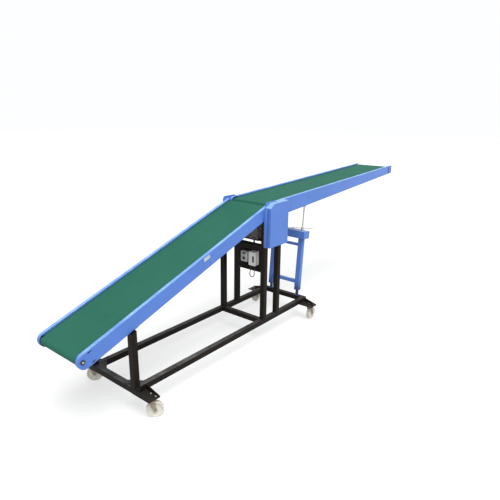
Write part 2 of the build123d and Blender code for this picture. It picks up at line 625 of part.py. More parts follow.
# Jack frame: feet, legs, top beam and ties, all leaning together
feet = []
legs = []
nuts = []
foot_x = (JACK_FOOT_X - FOOT_PLATE[0] / 2, JACK_FOOT_X + FOOT_PLATE[0] / 2)
foot_z = (RAIL_TOP, RAIL_TOP + FOOT_PLATE[2])
stem_start = FOOT_PLATE[2] / 2
leg_room = LEG - 2 * TUBE_WALL
leg_face = Rectangle(LEG, LEG) - Rectangle(leg_room, leg_room)
leg_length = JACK_TOP - JACK_BEAM_SHEET - LEG_START
nut_height = HANDLE_RISE + HANDLE_DIA
for y in (-JACK_Y, JACK_Y):
    foot = block(foot_x, (y - FOOT_PLATE[1] / 2, y + FOOT_PLATE[1] / 2), foot_z)
    foot += JACK * Pos(0, y, stem_start) * extrude(Rectangle(LEG_FOOT, LEG_FOOT), LEG_START - stem_start)
    foot += JACK * Pos(0, y, LEG_START - FOOT_HEAD) * extrude(Rectangle(LEG, LEG), FOOT_HEAD)
    feet.append(foot)
    legs.append(JACK * Pos(0, y, LEG_START) * extrude(leg_face, leg_length))
    nut = extrude(Circle(SCREW_DIA), nut_height)
    bar = Pos(0, 0, HANDLE_RISE) * Rot(0, 90, 0) * Cylinder(HANDLE_DIA / 2, HANDLE_LENGTH)
    nut += Rot(0, 0, HANDLE_TURN) * bar
    nut -= Pos(0, 0, -1) * extrude(Circle(SCREW_DIA / 2 + SCREW_PLAY), nut_height + 2)
    nuts.append(JACK * Pos(0, y, JACK_TOP) * nut)
save("jack_feet", *feet)
save("jack_legs", *legs)
save("jack_nuts", *nuts)
beam_length = 2 * (JACK_Y + JACK_BEAM_OVERHANG)
beam_inside = Rectangle(JACK_BEAM_WIDTH - 2 * JACK_BEAM_SHEET, beam_length - 2 * JACK_BEAM_SHEET)
top_beam = extrude(Rectangle(JACK_BEAM_WIDTH, beam_length), JACK_BEAM_HEIGHT)
top_beam -= Pos(0, 0, -JACK_BEAM_SHEET) * extrude(beam_inside, JACK_BEAM_HEIGHT)
for y in (-JACK_Y, JACK_Y):
    top_beam -= Pos(0, y, 0) * extrude(Circle(SCREW_DIA / 2 + SCREW_HOLE_GAP), JACK_BEAM_HEIGHT + 1)
save("jack_top_beam", JACK * Pos(0, 0, JACK_TOP - JACK_BEAM_HEIGHT) * top_beam)
jack_ties = []
for start, size in (LOWER_TIE, (JACK_TOP - UPPER_TIE[0], UPPER_TIE[1])):
    jack_ties.append(JACK * Pos(0, 0, start) * extrude(Rectangle(size, 2 * JACK_Y - LEG), size))
save("jack_ties", *jack_ties)

# Knee plates: one on each side, on the second posts, carrying the boom's pivot bearings


def boom_top(x):
    return BOOM_TOP + (x - PIVOT_X) * BO_S / BO_C


POST1_TOP = rail_under(REAR_POST_X[0] + TUBE)
knee_low = POST1_TOP + POST_CLEARANCE / 2
knee_top = BOOM_TOP + KNEE_PLATE_RISE
knee_face = make_face(Polyline(
    (KNEE_PLATE_X[0], knee_low),
    (REAR_POST_X[0] + TUBE + POST_CLEARANCE, knee_low),
    (REAR_POST_X[0] + 2 * TUBE, POST2_TOP),
    (KNEE_PLATE_X[1], POST2_TOP),
    (KNEE_PLATE_X[1], BOOM_TOP - KNEE_PLATE_RISE),
    (PIVOT_X + KNEE_DRUM_DIA / 2, knee_top),
    (KNEE_PLATE_X[0] + KNEE_CORNER[0], knee_top),
    (KNEE_PLATE_X[0], knee_top - KNEE_CORNER[1]),
    close=True,
))
knee_face -= Pos(PIVOT_X, PIVOT_Z) * Circle(PIVOT_DIA / 2 + RUNNING_FIT)
head_place = (TAIL_X + HEAD_S * IN_C - HEAD_N * IN_S, TAIL_Z + HEAD_S * IN_S + HEAD_N * IN_C)
knee_face -= Pos(*head_place) * Circle(SHAFT_DIA / 2 + SCREW_HOLE_GAP)
save("knee_plates", *both_sides(slab(knee_face, UPRIGHT, (IN_OUT, IN_OUT + KNEE_PLATE))))
pivot_y = (IN_OUT + KNEE_PLATE, IN_OUT + KNEE_PLATE + BEARING_T)
save("pivot_bearings", *both_sides(bearing(BOOM, (0, 0), BEARING_SIZE, PIVOT_DIA, pivot_y)))

# Chain cover: a folded sheet box, open to the machine, notched round the posts
KNEE_X = PIVOT_X - (boom_top(PIVOT_X) - rail_top(PIVOT_X)) / (BO_S / BO_C - IN_S / IN_C)
peak_x = KNEE_X - COVER_PEAK[0]
cover_bottom = BEAM_Z[0] + COVER_ABOVE_BEAM
cover_back = IN_OUT + KNEE_PLATE
cover_y = (-cover_back - COVER_DEPTH, -cover_back)
cover_outer = make_face(Polyline(
    (COVER_X[0], cover_bottom),
    (COVER_X[1], cover_bottom),
    (COVER_X[1], boom_top(COVER_X[1]) + COVER_RISE),
    (peak_x, rail_top(peak_x) + COVER_PEAK[1]),
    (COVER_X[0], rail_top(COVER_X[0]) + COVER_RISE),
    close=True,
))
cover = slab(cover_outer, UPRIGHT, cover_y)
cover -= slab(offset(cover_outer, -COVER_SHEET), UPRIGHT, (cover_y[0] + COVER_SHEET, cover_y[1] + 1))
front_z = (cover_bottom, rail_top(COVER_X[0]) + COVER_RISE)
cover += block((COVER_X[0], COVER_X[0] + COVER_SHEET), (cover_y[1], -IN_OUT), front_z)
for x in REAR_POST_X:
    cover -= block((x - COVER_NOTCH, x + TUBE + COVER_NOTCH), (-BASE_HALF - COVER_NOTCH, 0),
                   (RAIL_TOP, POST1_TOP + POST_CLEARANCE))
save("drive_cover", cover)

# Cross beams between the rear posts, with the geared motor on a plate over the higher one
beams = []
for x, z in zip(REAR_POST_X, BEAM_Z):
    beams.append(tube((x, x + TUBE), (-POST_INNER, POST_INNER), (z, z + TUBE), 1))
save("upper_cross_tubes", *beams)
plate_end = REAR_POST_X[1] + TUBE
plate_z = BEAM_Z[1] + TUBE
motor_z = plate_z + MOTOR_PLATE
plate_x = (plate_end - MOTOR_PLATE_LENGTH, plate_end)
save("motor_plate", block(plate_x, (-MOTOR_PLATE_HALF, MOTOR_PLATE_HALF), (plate_z, motor_z)))
motor_x = REAR_POST_X[0] + MOTOR_LEAD
motor_y = GEARBOX_Y + GEARBOX[1]
axis_z = motor_z + MOTOR_AXIS_RISE
gear_x = (motor_x - GEARBOX[0] / 2, motor_x + GEARBOX[0] / 2)
gear = block(gear_x, (GEARBOX_Y, motor_y), (motor_z, motor_z + GEARBOX[2]))
gear = fillet(gear.edges().filter_by(Axis.Y), GEARBOX_ROUND)
motor = Rot(90, 0, 0) * Cylinder(MOTOR_DIA / 2, MOTOR_LENGTH)
motor = Pos(motor_x, motor_y + MOTOR_LENGTH / 2, axis_z) * motor
box_x = (motor_x - TERMINAL_BOX[0] / 2, motor_x + TERMINAL_BOX[0] / 2)
box_y = (motor_y + TERMINAL_BOX_START, motor_y + TERMINAL_BOX_START + TERMINAL_BOX[1])
motor_box = block(box_x, box_y, (axis_z, axis_z + MOTOR_DIA / 2 + TERMINAL_BOX[2]))
shaft_end = -cover_back - DRIVE_SHAFT_PROUD
output = Pos(motor_x, (GEARBOX_Y + shaft_end) / 2, axis_z) * Rot(90, 0, 0) * Cylinder(
    SHAFT_DIA / 2, GEARBOX_Y - shaft_end)
save("geared_motor", gear + motor + motor_box + output)

# Control panel hung between the second posts, with its boxes and cable
panel_x = (REAR_POST_X[1], REAR_POST_X[1] + PANEL_SHEET)
panel_top = BEAM_Z[1] - PANEL_BELOW_BEAM
panel = block(panel_x, (PANEL_SHORT - POST_INNER, POST_INNER), (panel_top - PANEL_HEIGHT, panel_top))
panel += block(panel_x, PANEL_TAB, (panel_top - 1, BEAM_Z[1]))
save("control_panel", panel)
boxes = [
    # name, y limits, top below the panel's top, height, depth
    ("starter_box", (-64.0, 40.0), 98.0, 184.0, 90.0),
    ("socket_box", (84.0, 190.0), 125.0, 137.0, 60.0),
]
for name, y, below, height, depth in boxes:
    box_z = (panel_top - below - height, panel_top - below)
    shell = block((panel_x[0] - depth, panel_x[0]), y, box_z)
    save(name, fillet(shell.edges().filter_by(Axis.X), BOX_CORNER))
GLAND_X = panel_x[0] - boxes[0][4] / 2
cable_start = panel_top - boxes[0][2] - boxes[0][3] - GLAND_LENGTH
glands = []
for y in GLAND_Y:
    glands.append(Pos(GLAND_X, y, cable_start) * extrude(Circle(CABLE_DIA), GLAND_LENGTH))
save("cable_glands", *glands)
loop = (
    # y, drop below the gland
    (GLAND_Y[0], 0.0), (GLAND_Y[0], 40.0), (-23.0, 122.0), (-2.2, 142.8), (27.2, 142.8),
    (48.0, 122.0), (48.0, 84.0), (GLAND_Y[1], 34.0), (GLAND_Y[1], 0.0),
)
route = [(GLAND_X, y, cable_start - drop) for y, drop in loop]
radii = []
for before, here, after in zip(route, route[1:], route[2:]):
    a = Vector(*here) - Vector(*before)
    b = Vector(*after) - Vector(*here)
    radii.append(0.45 * min(a.length, b.length) / math.tan(math.radians(a.get_angle(b) / 2)))
path = FilletPolyline(*route, radius=radii)
section = Plane(origin=route[0], z_dir=path % 0) * Circle(CABLE_DIA / 2)
save("control_cable", sweep(section, path=path))
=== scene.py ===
import bmesh
import bpy
import json
import math
from mathutils import Matrix, Vector


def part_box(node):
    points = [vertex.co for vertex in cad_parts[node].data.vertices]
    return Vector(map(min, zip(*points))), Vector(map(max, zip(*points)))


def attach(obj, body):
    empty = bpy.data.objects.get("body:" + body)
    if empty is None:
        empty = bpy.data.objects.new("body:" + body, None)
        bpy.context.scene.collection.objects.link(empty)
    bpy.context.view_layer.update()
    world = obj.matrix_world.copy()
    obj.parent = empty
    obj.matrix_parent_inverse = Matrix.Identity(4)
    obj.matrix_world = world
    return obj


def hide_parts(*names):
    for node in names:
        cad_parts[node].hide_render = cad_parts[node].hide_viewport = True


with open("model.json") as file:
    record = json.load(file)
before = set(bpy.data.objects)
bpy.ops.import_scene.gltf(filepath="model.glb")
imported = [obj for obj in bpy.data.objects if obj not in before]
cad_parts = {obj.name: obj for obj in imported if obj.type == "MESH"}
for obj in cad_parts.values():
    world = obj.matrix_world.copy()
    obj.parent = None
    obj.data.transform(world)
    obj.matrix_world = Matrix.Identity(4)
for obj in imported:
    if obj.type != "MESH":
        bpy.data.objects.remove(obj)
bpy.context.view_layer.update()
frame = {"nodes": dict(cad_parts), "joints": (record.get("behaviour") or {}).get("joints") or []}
scene = bpy.context.scene
nodes = frame["nodes"]

# Viewpoint. Everything is set out in millimetres as in the workshop: x up the conveyor from the
# front face of the base, y across it with the near side negative, z up from the floor.
FRONT_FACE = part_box("base_cross_tubes")[0][0]
FROM_MM = Matrix.Translation((FRONT_FACE, 0, 0)) @ Matrix.Scale(0.001, 4)
CAMERA_AT = (-2235.97, -3435.91, 2685.87)
AZIMUTH, ELEVATION, ROLL = (math.radians(angle) for angle in (-51.65, 16.45, 0.77))
FOCAL_PIXELS, FRAME_PIXELS, SENSOR = 461.51, 500, 36
camera_data = bpy.data.cameras.new("camera")
camera_data.sensor_width = SENSOR
camera_data.lens = SENSOR * FOCAL_PIXELS / FRAME_PIXELS
camera = bpy.data.objects.new("camera", camera_data)
scene.collection.objects.link(camera)
span = math.cos(ELEVATION)
back = Vector((math.sin(AZIMUTH) * span, -math.cos(AZIMUTH) * span, math.sin(ELEVATION)))
right = Vector((math.cos(AZIMUTH), math.sin(AZIMUTH), 0))
level = Matrix((right, back.cross(right), back)).transposed().to_4x4()
stand = Matrix.Translation(FROM_MM @ Vector(CAMERA_AT))
camera.matrix_world = stand @ level @ Matrix.Rotation(ROLL, 4, "Z")
scene.camera = camera
scene.view_settings.view_transform = "Standard"

# Control lead. A black rubber-sheathed lead, 10 mm thick, that hangs in a loop between the two
# glands under the starter box, and both its ends go into the object.
LEAD_X, LEAD_END, LEAD_DIAMETER = 2170.0, 819.0, 10.0
LEAD_ROUTE = [
    # y, drop below the glands
    (-24.0, 0.0), (-24.0, 40.0), (-23.0, 122.0), (-2.2, 142.8), (27.2, 142.8),
    (48.0, 122.0), (48.0, 84.0), (30.0, 34.0), (30.0, 0.0),
]
GLOSS_SPREAD, GRAIN_DEPTH = 0.08, 0.0006
lead_curve = bpy.data.curves.new("control_lead", "CURVE")
lead_curve.dimensions = "3D"
lead_curve.bevel_depth = LEAD_DIAMETER / 2000
lead_curve.bevel_resolution = 5
spline = lead_curve.splines.new("NURBS")
spline.points.add(len(LEAD_ROUTE) - 1)
for point, (y, drop) in zip(spline.points, LEAD_ROUTE):
    point.co = (*(FROM_MM @ Vector((LEAD_X, y, LEAD_END - drop))), 1)
spline.order_u = 3
spline.use_endpoint_u = True
spline.resolution_u = 12
lead = bpy.data.objects.new("control_lead", lead_curve)
scene.collection.objects.link(lead)


def feed(tree, socket, value):
    # Socket linked to another one, or set to a plain value.
    if isinstance(value, bpy.types.NodeSocket):
        tree.links.new(value, socket)
    else:
        socket.default_value = value


def add(tree, kind, *fed, **named):
    # One shader node. Its sockets are fed in order or by name, and its settings by name.
    node = tree.nodes.new("ShaderNode" + kind)
    for key, value in named.items():
        if key in node.bl_rna.properties:
            setattr(node, key, value)
        else:
            feed(tree, node.inputs[key.replace("_", " ")], value)
    for socket, value in zip(node.inputs, fed):
        feed(tree, socket, value)
    return node


def times(tree, value, share):
    return add(tree, "Math", value, share, operation="MULTIPLY").outputs[0]


def effect(name, inputs, *outputs):
    # Empty shader group with named sockets.
    group = bpy.data.node_groups.new(name, "ShaderNodeTree")
    for label, default in inputs:
        socket = group.interface.new_socket(label, in_out="INPUT", socket_type="NodeSocketFloat")
        socket.default_value = default
    for label, kind in outputs:
        group.interface.new_socket(label, in_out="OUTPUT", socket_type="NodeSocket" + kind)
    given, out = group.nodes.new("NodeGroupInput"), group.nodes.new("NodeGroupOutput")
    return group, given.outputs, out.inputs


def use(tree, group, **values):
    node = tree.nodes.new("ShaderNodeGroup")
    node.node_tree = group
    for key, value in values.items():
        node.inputs[key].default_value = value
    return node.outputs


def tones(tree, mask, low, high):
    # Colour that goes from one tone to another where the mask rises. A tone may be a socket.
    node = add(tree, "Mix", mask, data_type="RGBA")
    for place, tone in ((6, low), (7, high)):
        feed(tree, node.inputs[place], (*tone, 1) if isinstance(tone, tuple) else tone)
    return node.outputs[2]


def spread(tree, value, low, high, start=0.0, end=1.0):
    # Value moved from one range to another.
    node = add(tree, "MapRange", Value=value, From_Min=start, From_Max=end, To_Min=low, To_Max=high)
    return node.outputs["Result"]


def on_surface(tree):
    return add(tree, "TexCoord").outputs["Object"]


def noise(tree, where, scale, detail, roughness=0.5):
    node = add(tree, "TexNoise", Vector=where, Scale=scale, Detail=detail, Roughness=roughness)
    return node.outputs["Fac"]


# Uneven tone and fine grain, which every sprayed, moulded or rolled surface here has.
uneven, given, out = effect(
    "uneven_tone", [("Patch", 3.0), ("Grain", 300.0)], ("Tone", "Float"), ("Grain", "Float"))
where = on_surface(uneven)
patches = noise(uneven, where, given["Patch"], 4.0, 0.6)
uneven.links.new(spread(uneven, patches, 0, 1, 0.3, 0.7), out["Tone"])
uneven.links.new(noise(uneven, where, given["Grain"], 2.0), out["Grain"])


def finish(name, low, high, roughness, metal=0.0, patch=3.0, grain=300.0, dent=0.2, specular=0.5):
    # Finish of two close tones with its grain in the gloss and in the surface.
    material = bpy.data.materials.new(name)
    material.use_nodes = True
    tree = material.node_tree
    shader = tree.nodes["Principled BSDF"].inputs
    shader["Metallic"].default_value = metal
    shader["Specular IOR Level"].default_value = specular
    skin = use(tree, uneven, Patch=patch, Grain=grain)
    colour = tones(tree, skin["Tone"], low, high)
    tree.links.new(colour, shader["Base Color"])
    gloss = roughness - GLOSS_SPREAD, roughness + GLOSS_SPREAD
    tree.links.new(spread(tree, skin["Grain"], *gloss, 0.3, 0.7), shader["Roughness"])
    bump = add(tree, "Bump", Height=skin["Grain"], Strength=dent, Distance=GRAIN_DEPTH)
    tree.links.new(bump.outputs[0], shader["Normal"])
    return material, tree, shader, colour, bump


RUBBER_TONES = (0.014, 0.013, 0.012), (0.03, 0.028, 0.026)
cable_rubber = finish("cable_rubber", *RUBBER_TONES, roughness=0.55, grain=900.0)[0]
lead_curve.materials.append(cable_rubber)
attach(lead, "chassis")
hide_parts("control_cable")

# Floor and light. A pale studio floor under an even white sky, with one wide soft lamp high on
# the near side and a weak one low down, so that upper faces are brightest and end faces darkest.
SKY_COLOUR, SKY_STRENGTH = (0.985, 0.992, 1, 1), 0.6
FLOOR_SIZE, FLOOR_LIGHTING, FLOOR_SEEN, FLOOR_GLOW = 60, (0.5, 0.5, 0.5), (0.42, 0.42, 0.42), 0.58
LAMPS = [
    # name, strength, width in degrees, where it stands
    ("lamp", 2.45, 40, (-0.15, -0.42, 1.0)),
    ("side_lamp", 0.95, 60, (-0.72, -0.66, 0.3)),
]


def looked_at(tree):
    # One where a thing is seen, straight or in a gloss or glass, and not where it only lights.
    rays = add(tree, "LightPath").outputs
    seen = add(tree, "Math", rays["Is Camera Ray"], rays["Is Glossy Ray"], operation="MAXIMUM")
    both = add(tree, "Math", seen.outputs[0], rays["Is Transmission Ray"], operation="MAXIMUM")
    return both.outputs[0]


sky = bpy.data.worlds.new("sky")
scene.world = sky
sky.use_nodes = True
tree = sky.node_tree
background = tree.nodes["Background"].inputs
background["Color"].default_value = SKY_COLOUR
tree.links.new(spread(tree, looked_at(tree), SKY_STRENGTH, 1.0), background["Strength"])

bm = bmesh.new()
bmesh.ops.create_grid(bm, x_segments=1, y_segments=1, size=FLOOR_SIZE)
floor_data = bpy.data.meshes.new("floor")
bm.to_mesh(floor_data)
bm.free()
floor_finish = bpy.data.materials.new("studio_floor")
floor_finish.use_nodes = True
tree = floor_finish.node_tree
shader = tree.nodes["Principled BSDF"].inputs
seen = looked_at(tree)
tree.links.new(tones(tree, seen, FLOOR_LIGHTING, FLOOR_SEEN), shader["Base Color"])
tree.links.new(spread(tree, seen, 0, FLOOR_GLOW), shader["Emission Strength"])
shader["Emission Color"].default_value = (1, 1, 1, 1)
shader["Roughness"].default_value = 0.95
shader["Specular IOR Level"].default_value = 0.1
floor_data.materials.append(floor_finish)
floor = bpy.data.objects.new("floor", floor_data)
scene.collection.objects.link(floor)
for name, energy, width, source in LAMPS:
    lamp_data = bpy.data.lights.new(name, "SUN")
    lamp_data.energy = energy
    lamp_data.angle = math.radians(width)
    lamp = bpy.data.objects.new(name, lamp_data)
    lamp.rotation_euler = Vector(source).to_track_quat("Z", "Y").to_euler()
    scene.collection.objects.link(lamp)

# Base frame. Square steel tube, 60 by 60, sawn square and welded into an open bed with posts,
# sprayed satin black over the welds. The tube ends are shut with black plastic caps.
TUBE, RAIL_TOP = 60.0, 263.0
POST_X, POST_INNER, POST_OUTER = (0.0, 1944.0, 2215.0), 292.0, 352.0
WELD_RADIUS, WELD_RIPPLE, WELD_MEAN, WELD_SWING = 3.4, 6.0, 0.86, 0.16
MERGE_WITHIN, CREASE = 0.002, math.radians(32)
BLACK_TONES = (0.0125, 0.0098, 0.008), (0.0185, 0.015, 0.0124)
BLACK_SKIN = {"patch": 5.0, "grain": 420.0, "dent": 0.12, "specular": 0.05}
BLACK_WEAR = {"worn": (0.07, 0.066, 0.062), "round_off": 0.0055, "scuff": (0.05, 0.046, 0.042)}

# Edges rubbed through, and the soft round that a coat of paint or a bent sheet has on them.
rubbed, given, out = effect(
    "rubbed_edges", [("Round", 0.002), ("Reach", 0.004), ("Breaks", 30.0)],
    ("Wear", "Float"), ("Normal", "Vector"))
soft = add(rubbed, "Bevel", Radius=given["Round"], samples=4).outputs[0]
wide = add(rubbed, "Bevel", Radius=given["Reach"], samples=4).outputs[0]
facing = add(rubbed, "NewGeometry").outputs["Normal"]
leaning = add(rubbed, "VectorMath", wide, facing, operation="DOT_PRODUCT").outputs["Value"]
near_edge = spread(rubbed, leaning, 1, 0, 0.8, 0.99)
breaks = noise(rubbed, on_surface(rubbed), given["Breaks"], 5.0, 0.7)
rubbed.links.new(times(rubbed, near_edge, spread(rubbed, breaks, 0, 1, 0.5, 0.62)), out["Wear"])
rubbed.links.new(soft, out["Normal"])

# Dust that settles on what faces up. Some finishes use the same upward tone as a painted highlight.
upward_sheen_and_dust, given, out = effect(
    "dust_and_sheen_laid_up", [("Amount", 0.3), ("Drift", 6.0)], ("DustSheen", "Float"))
facing = add(upward_sheen_and_dust, "NewGeometry").outputs["Normal"]
upward = add(upward_sheen_and_dust, "SeparateXYZ", facing).outputs["Z"]
drifts = noise(upward_sheen_and_dust, on_surface(upward_sheen_and_dust), given["Drift"], 6.0, 0.65)
banks = spread(upward_sheen_and_dust, drifts, 0.2, 1, 0.35, 0.7)
lying = times(upward_sheen_and_dust, spread(upward_sheen_and_dust, upward, 0, 1, 0.35, 0.95), banks)
upward_sheen_and_dust.links.new(times(upward_sheen_and_dust, lying, given["Amount"]), out["DustSheen"])

# Small knocks and specks of dirt, scattered over a painted face.
scuffed, given, out = effect("scuffs", [("Spots", 34.0), ("Share", 0.6)], ("Marks", "Float"))
specks = noise(scuffed, on_surface(scuffed), given["Spots"], 3.0, 0.6)
scuffed.links.new(times(scuffed, spread(scuffed, specks, 0, 1, 0.68, 0.73), given["Share"]),
                  out["Marks"])


def wear_dust_sheen(made, worn, highlight_and_dust, worn_share=0.5, amount=0.3, round_off=0.002, reach=0.004,
                  breaks=30.0, scuff=None, painted_light_fades=None):
    # Rubbed edges and settled dust laid over a finish, with its edges rounded. In some finishes the
    # upward tone is partly a painted highlight. The upward tone may fade up the machine, from one x
    # to another, to a share of what it is at first, as painted light.
    material, tree, shader, colour, bump = made
    if scuff:
        colour = tones(tree, use(tree, scuffed)["Marks"], colour, scuff)
    edges = use(tree, rubbed, Round=round_off, Reach=reach, Breaks=breaks)
    colour = tones(tree, times(tree, edges["Wear"], worn_share), colour, worn)
    lying = use(tree, upward_sheen_and_dust, Amount=amount)["DustSheen"]
    if painted_light_fades:
        along = add(tree, "SeparateXYZ", on_surface(tree)).outputs["X"]
        start, end = (FRONT_FACE + x / 1000 for x in painted_light_fades[:2])
        lying = times(tree, lying, spread(tree, along, 1, painted_light_fades[2], start, end))
    tree.links.new(tones(tree, lying, colour, highlight_and_dust), shader["Base Color"])
    tree.links.new(edges["Normal"], bump.inputs["Normal"])
    return material


def coat(material, *names):
    for name in names:
        nodes[name].data.materials.clear()
        nodes[name].data.materials.append(material)


def piece(name, bm, material, body, slot, *stands_for):
    # Finished mesh, put in its place in metres, on the body that carries it.
    bmesh.ops.remove_doubles(bm, verts=bm.verts, dist=MERGE_WITHIN)
    bmesh.ops.recalc_face_normals(bm, faces=bm.faces)
    bmesh.ops.transform(bm, matrix=FROM_MM, verts=bm.verts)
    for face in bm.faces:
        face.smooth = True
    mesh = bpy.data.meshes.new(name)
    bm.to_mesh(mesh)
    bm.free()
    mesh.set_sharp_from_angle(angle=CREASE)
    mesh.materials.append(material)
    made = bpy.data.objects.new(name, mesh)
    scene.collection.objects.link(made)
    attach(made, body)
    if stands_for:
        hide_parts(*stands_for)


def points(parts):
    return [part for part in parts if isinstance(part, bmesh.types.BMVert)]


def edges_of(made):
    return list({edge for vert in made["verts"] for edge in vert.link_edges})


def thicken(bm, faces, rise):
    # Flat faces drawn out into a solid plate.
    grown = bmesh.ops.extrude_face_region(bm, geom=faces)["geom"]
    bmesh.ops.translate(bm, verts=points(grown), vec=rise)


def weld_bead(bm, start, end):
    # Rippled bead along a joint, as a hand welder lays it.
    along = end - start
    turn = along.to_track_quat("Z", "Y").to_matrix().to_4x4()
    made = bmesh.ops.create_cone(
        bm, cap_ends=True, segments=8, radius1=WELD_RADIUS, radius2=WELD_RADIUS,
        depth=along.length, matrix=Matrix.Translation((start + end) / 2) @ turn)
    lengthwise = [edge for edge in edges_of(made) if edge.calc_length() > along.length * 0.9]
    rings = int(along.length / WELD_RIPPLE)
    cut = bmesh.ops.subdivide_edges(bm, edges=lengthwise, cuts=rings)
    axis = along.normalized()
    for vert in points(cut["geom_inner"]):
        reach = (vert.co - start).dot(axis)
        centre = start + axis * reach
        swell = WELD_MEAN + WELD_SWING * math.sin(reach / WELD_RIPPLE * math.pi)
        vert.co = centre + (vert.co - centre) * swell


# The grey on upper faces is dust, and partly a painted highlight on the tops.
black_paint = wear_dust_sheen(
    finish("black_paint", *BLACK_TONES, roughness=0.42, **BLACK_SKIN),
    highlight_and_dust=(0.09, 0.086, 0.08), amount=0.24, **BLACK_WEAR)
coat(black_paint, "front_posts", "rear_posts", "upper_cross_tubes", "castor_trays", "motor_plate",
     "control_panel")
# The bed's rails and cross tubes carry pale grey on their upper faces, thickest at the front and
# fading up the machine. It is partly dust and partly painted light: a painted highlight on the
# tops, and painted fill light where the belt's shadow falls at the front.
bed_black_lit_tops = wear_dust_sheen(
    finish("bed_black_lit_tops", *BLACK_TONES, roughness=0.42, **BLACK_SKIN),
    highlight_and_dust=(0.16, 0.158, 0.16), amount=1.0, painted_light_fades=(100.0, 2000.0, 0.2), **BLACK_WEAR)
coat(bed_black_lit_tops, "base_cross_tubes", "base_rails")
black_plastic = wear_dust_sheen(
    finish("black_plastic", (0.013, 0.013, 0.013), (0.024, 0.024, 0.024), roughness=0.5,
           grain=700.0),
    worn=(0.1, 0.1, 0.1), highlight_and_dust=(0.16, 0.155, 0.145), amount=0.25)
coat(black_plastic, "tube_end_caps")

# A bead runs round the foot of each post, except where its outer face is flush with the rail's.
bm = bmesh.new()
for x in POST_X:
    for side in (-1, 1):
        inner, outer = side * POST_INNER, side * POST_OUTER
        corners = [(x, inner), (x + TUBE, inner), (x + TUBE, outer), (x, outer)]
        for start, end in zip(corners, corners[1:] + corners[:1]):
            if abs(start[1]) < POST_OUTER or abs(end[1]) < POST_OUTER:
                weld_bead(bm, Vector((*start, RAIL_TOP)), Vector((*end, RAIL_TOP)))
piece("post_welds", bm, black_paint, "chassis", "black_paint")

# A flat plate is let into each front corner of the bed, behind the post, to keep it square.
CORNER_ALONG, CORNER_ACROSS, CORNER_LET_IN = 92.0, 130.0, 1.0
CORNER_TOP, CORNER_THICK = 262.0, 5.0
corner_x, corner_y = TUBE - CORNER_LET_IN, POST_INNER + CORNER_LET_IN
bm = bmesh.new()
for side in (-1, 1):
    outline = [(corner_x, corner_y), (TUBE + CORNER_ALONG, corner_y),
               (corner_x, POST_INNER - CORNER_ACROSS)]
    sheet = bm.faces.new([bm.verts.new((x, side * y, CORNER_TOP)) for x, y in outline])
    thicken(bm, [sheet], (0, 0, -CORNER_THICK))
piece("corner_plates", bm, bed_black_lit_tops, "chassis", "black_paint")

# Castor seats. Pressed trays welded under the ends of the bed, each with a castor held by four
# hexagon bolts. The bolts are zinc plated, and those at the near rear have rusted.
CASTOR_Y, CASTOR_FRONT_X, CASTOR_REAR_X, TRAY_TOP = 474.0, 67.0, 2825.0, 203.0
BOLT_PITCH_X, BOLT_PITCH_Y = 84.0, 70.0
BOLT_ACROSS, BOLT_HEIGHT = 13.0, 6.4
WASHER_THICK, WASHER_FOOT, WASHER_TOP, CROWN_ROUND = 1.6, 0.7, 0.67, 0.2
CASTORS = [
    # name, x, side
    ("near_front", CASTOR_FRONT_X, -1), ("far_front", CASTOR_FRONT_X, 1),
    ("near_rear", CASTOR_REAR_X, -1), ("far_rear", CASTOR_REAR_X, 1),
]


def rounded(bm, edges, width, steps):
    bmesh.ops.bevel(bm, geom=edges, offset=width, offset_type="OFFSET", segments=steps,
                    profile=0.5, affect="EDGES", material=-1)


def hexagon(bm, place, across, height, washer=WASHER_THICK):
    # Hexagon head with its crown rounded off, on a plain washer, standing along the place's z.
    if washer:
        bmesh.ops.create_cone(
            bm, cap_ends=True, segments=20, radius1=across * WASHER_FOOT,
            radius2=across * WASHER_TOP, depth=washer,
            matrix=place @ Matrix.Translation((0, 0, washer / 2)))
    corner = across / math.sqrt(3)
    made = bmesh.ops.create_cone(
        bm, cap_ends=True, segments=6, radius1=corner, radius2=corner, depth=height,
        matrix=place @ Matrix.Translation((0, 0, washer + height / 2)))
    home = place.inverted()
    crown = [edge for edge in edges_of(made)
             if all((home @ end.co).z > washer + height * 0.6 for end in edge.verts)]
    rounded(bm, crown, height * CROWN_ROUND, steps=2)


zinc_bright = wear_dust_sheen(
    finish("zinc_bright", (0.42, 0.405, 0.37), (0.58, 0.565, 0.53), roughness=0.33, metal=0.6,
           patch=40.0, grain=500.0),
    worn=(0.2, 0.15, 0.1), highlight_and_dust=(0.3, 0.27, 0.23), amount=0.2, round_off=0.0008, reach=0.002,
    breaks=160.0)
zinc_steel = wear_dust_sheen(
    finish("zinc_steel", (0.2, 0.175, 0.135), (0.31, 0.28, 0.23), roughness=0.42, metal=0.6,
           patch=18.0, grain=500.0),
    worn=(0.16, 0.11, 0.07), highlight_and_dust=(0.3, 0.26, 0.2), amount=0.3, round_off=0.0015)
rusted = finish("rusted_bolts", (0.06, 0.033, 0.02), (0.13, 0.075, 0.045), roughness=0.75,
                patch=120.0, grain=800.0, dent=0.6)[0]
for label, x, side in CASTORS:
    bm = bmesh.new()
    for dx in (-BOLT_PITCH_X / 2, BOLT_PITCH_X / 2):
        for dy in (-BOLT_PITCH_Y / 2, BOLT_PITCH_Y / 2):
            at = Matrix.Translation((x + dx, side * CASTOR_Y + dy, TRAY_TOP))
            hexagon(bm, at, BOLT_ACROSS, BOLT_HEIGHT)
    bolt_finish = rusted if label == "near_rear" else zinc_bright
    piece("tray_bolts_" + label, bm, bolt_finish, "chassis", "zinc_steel")

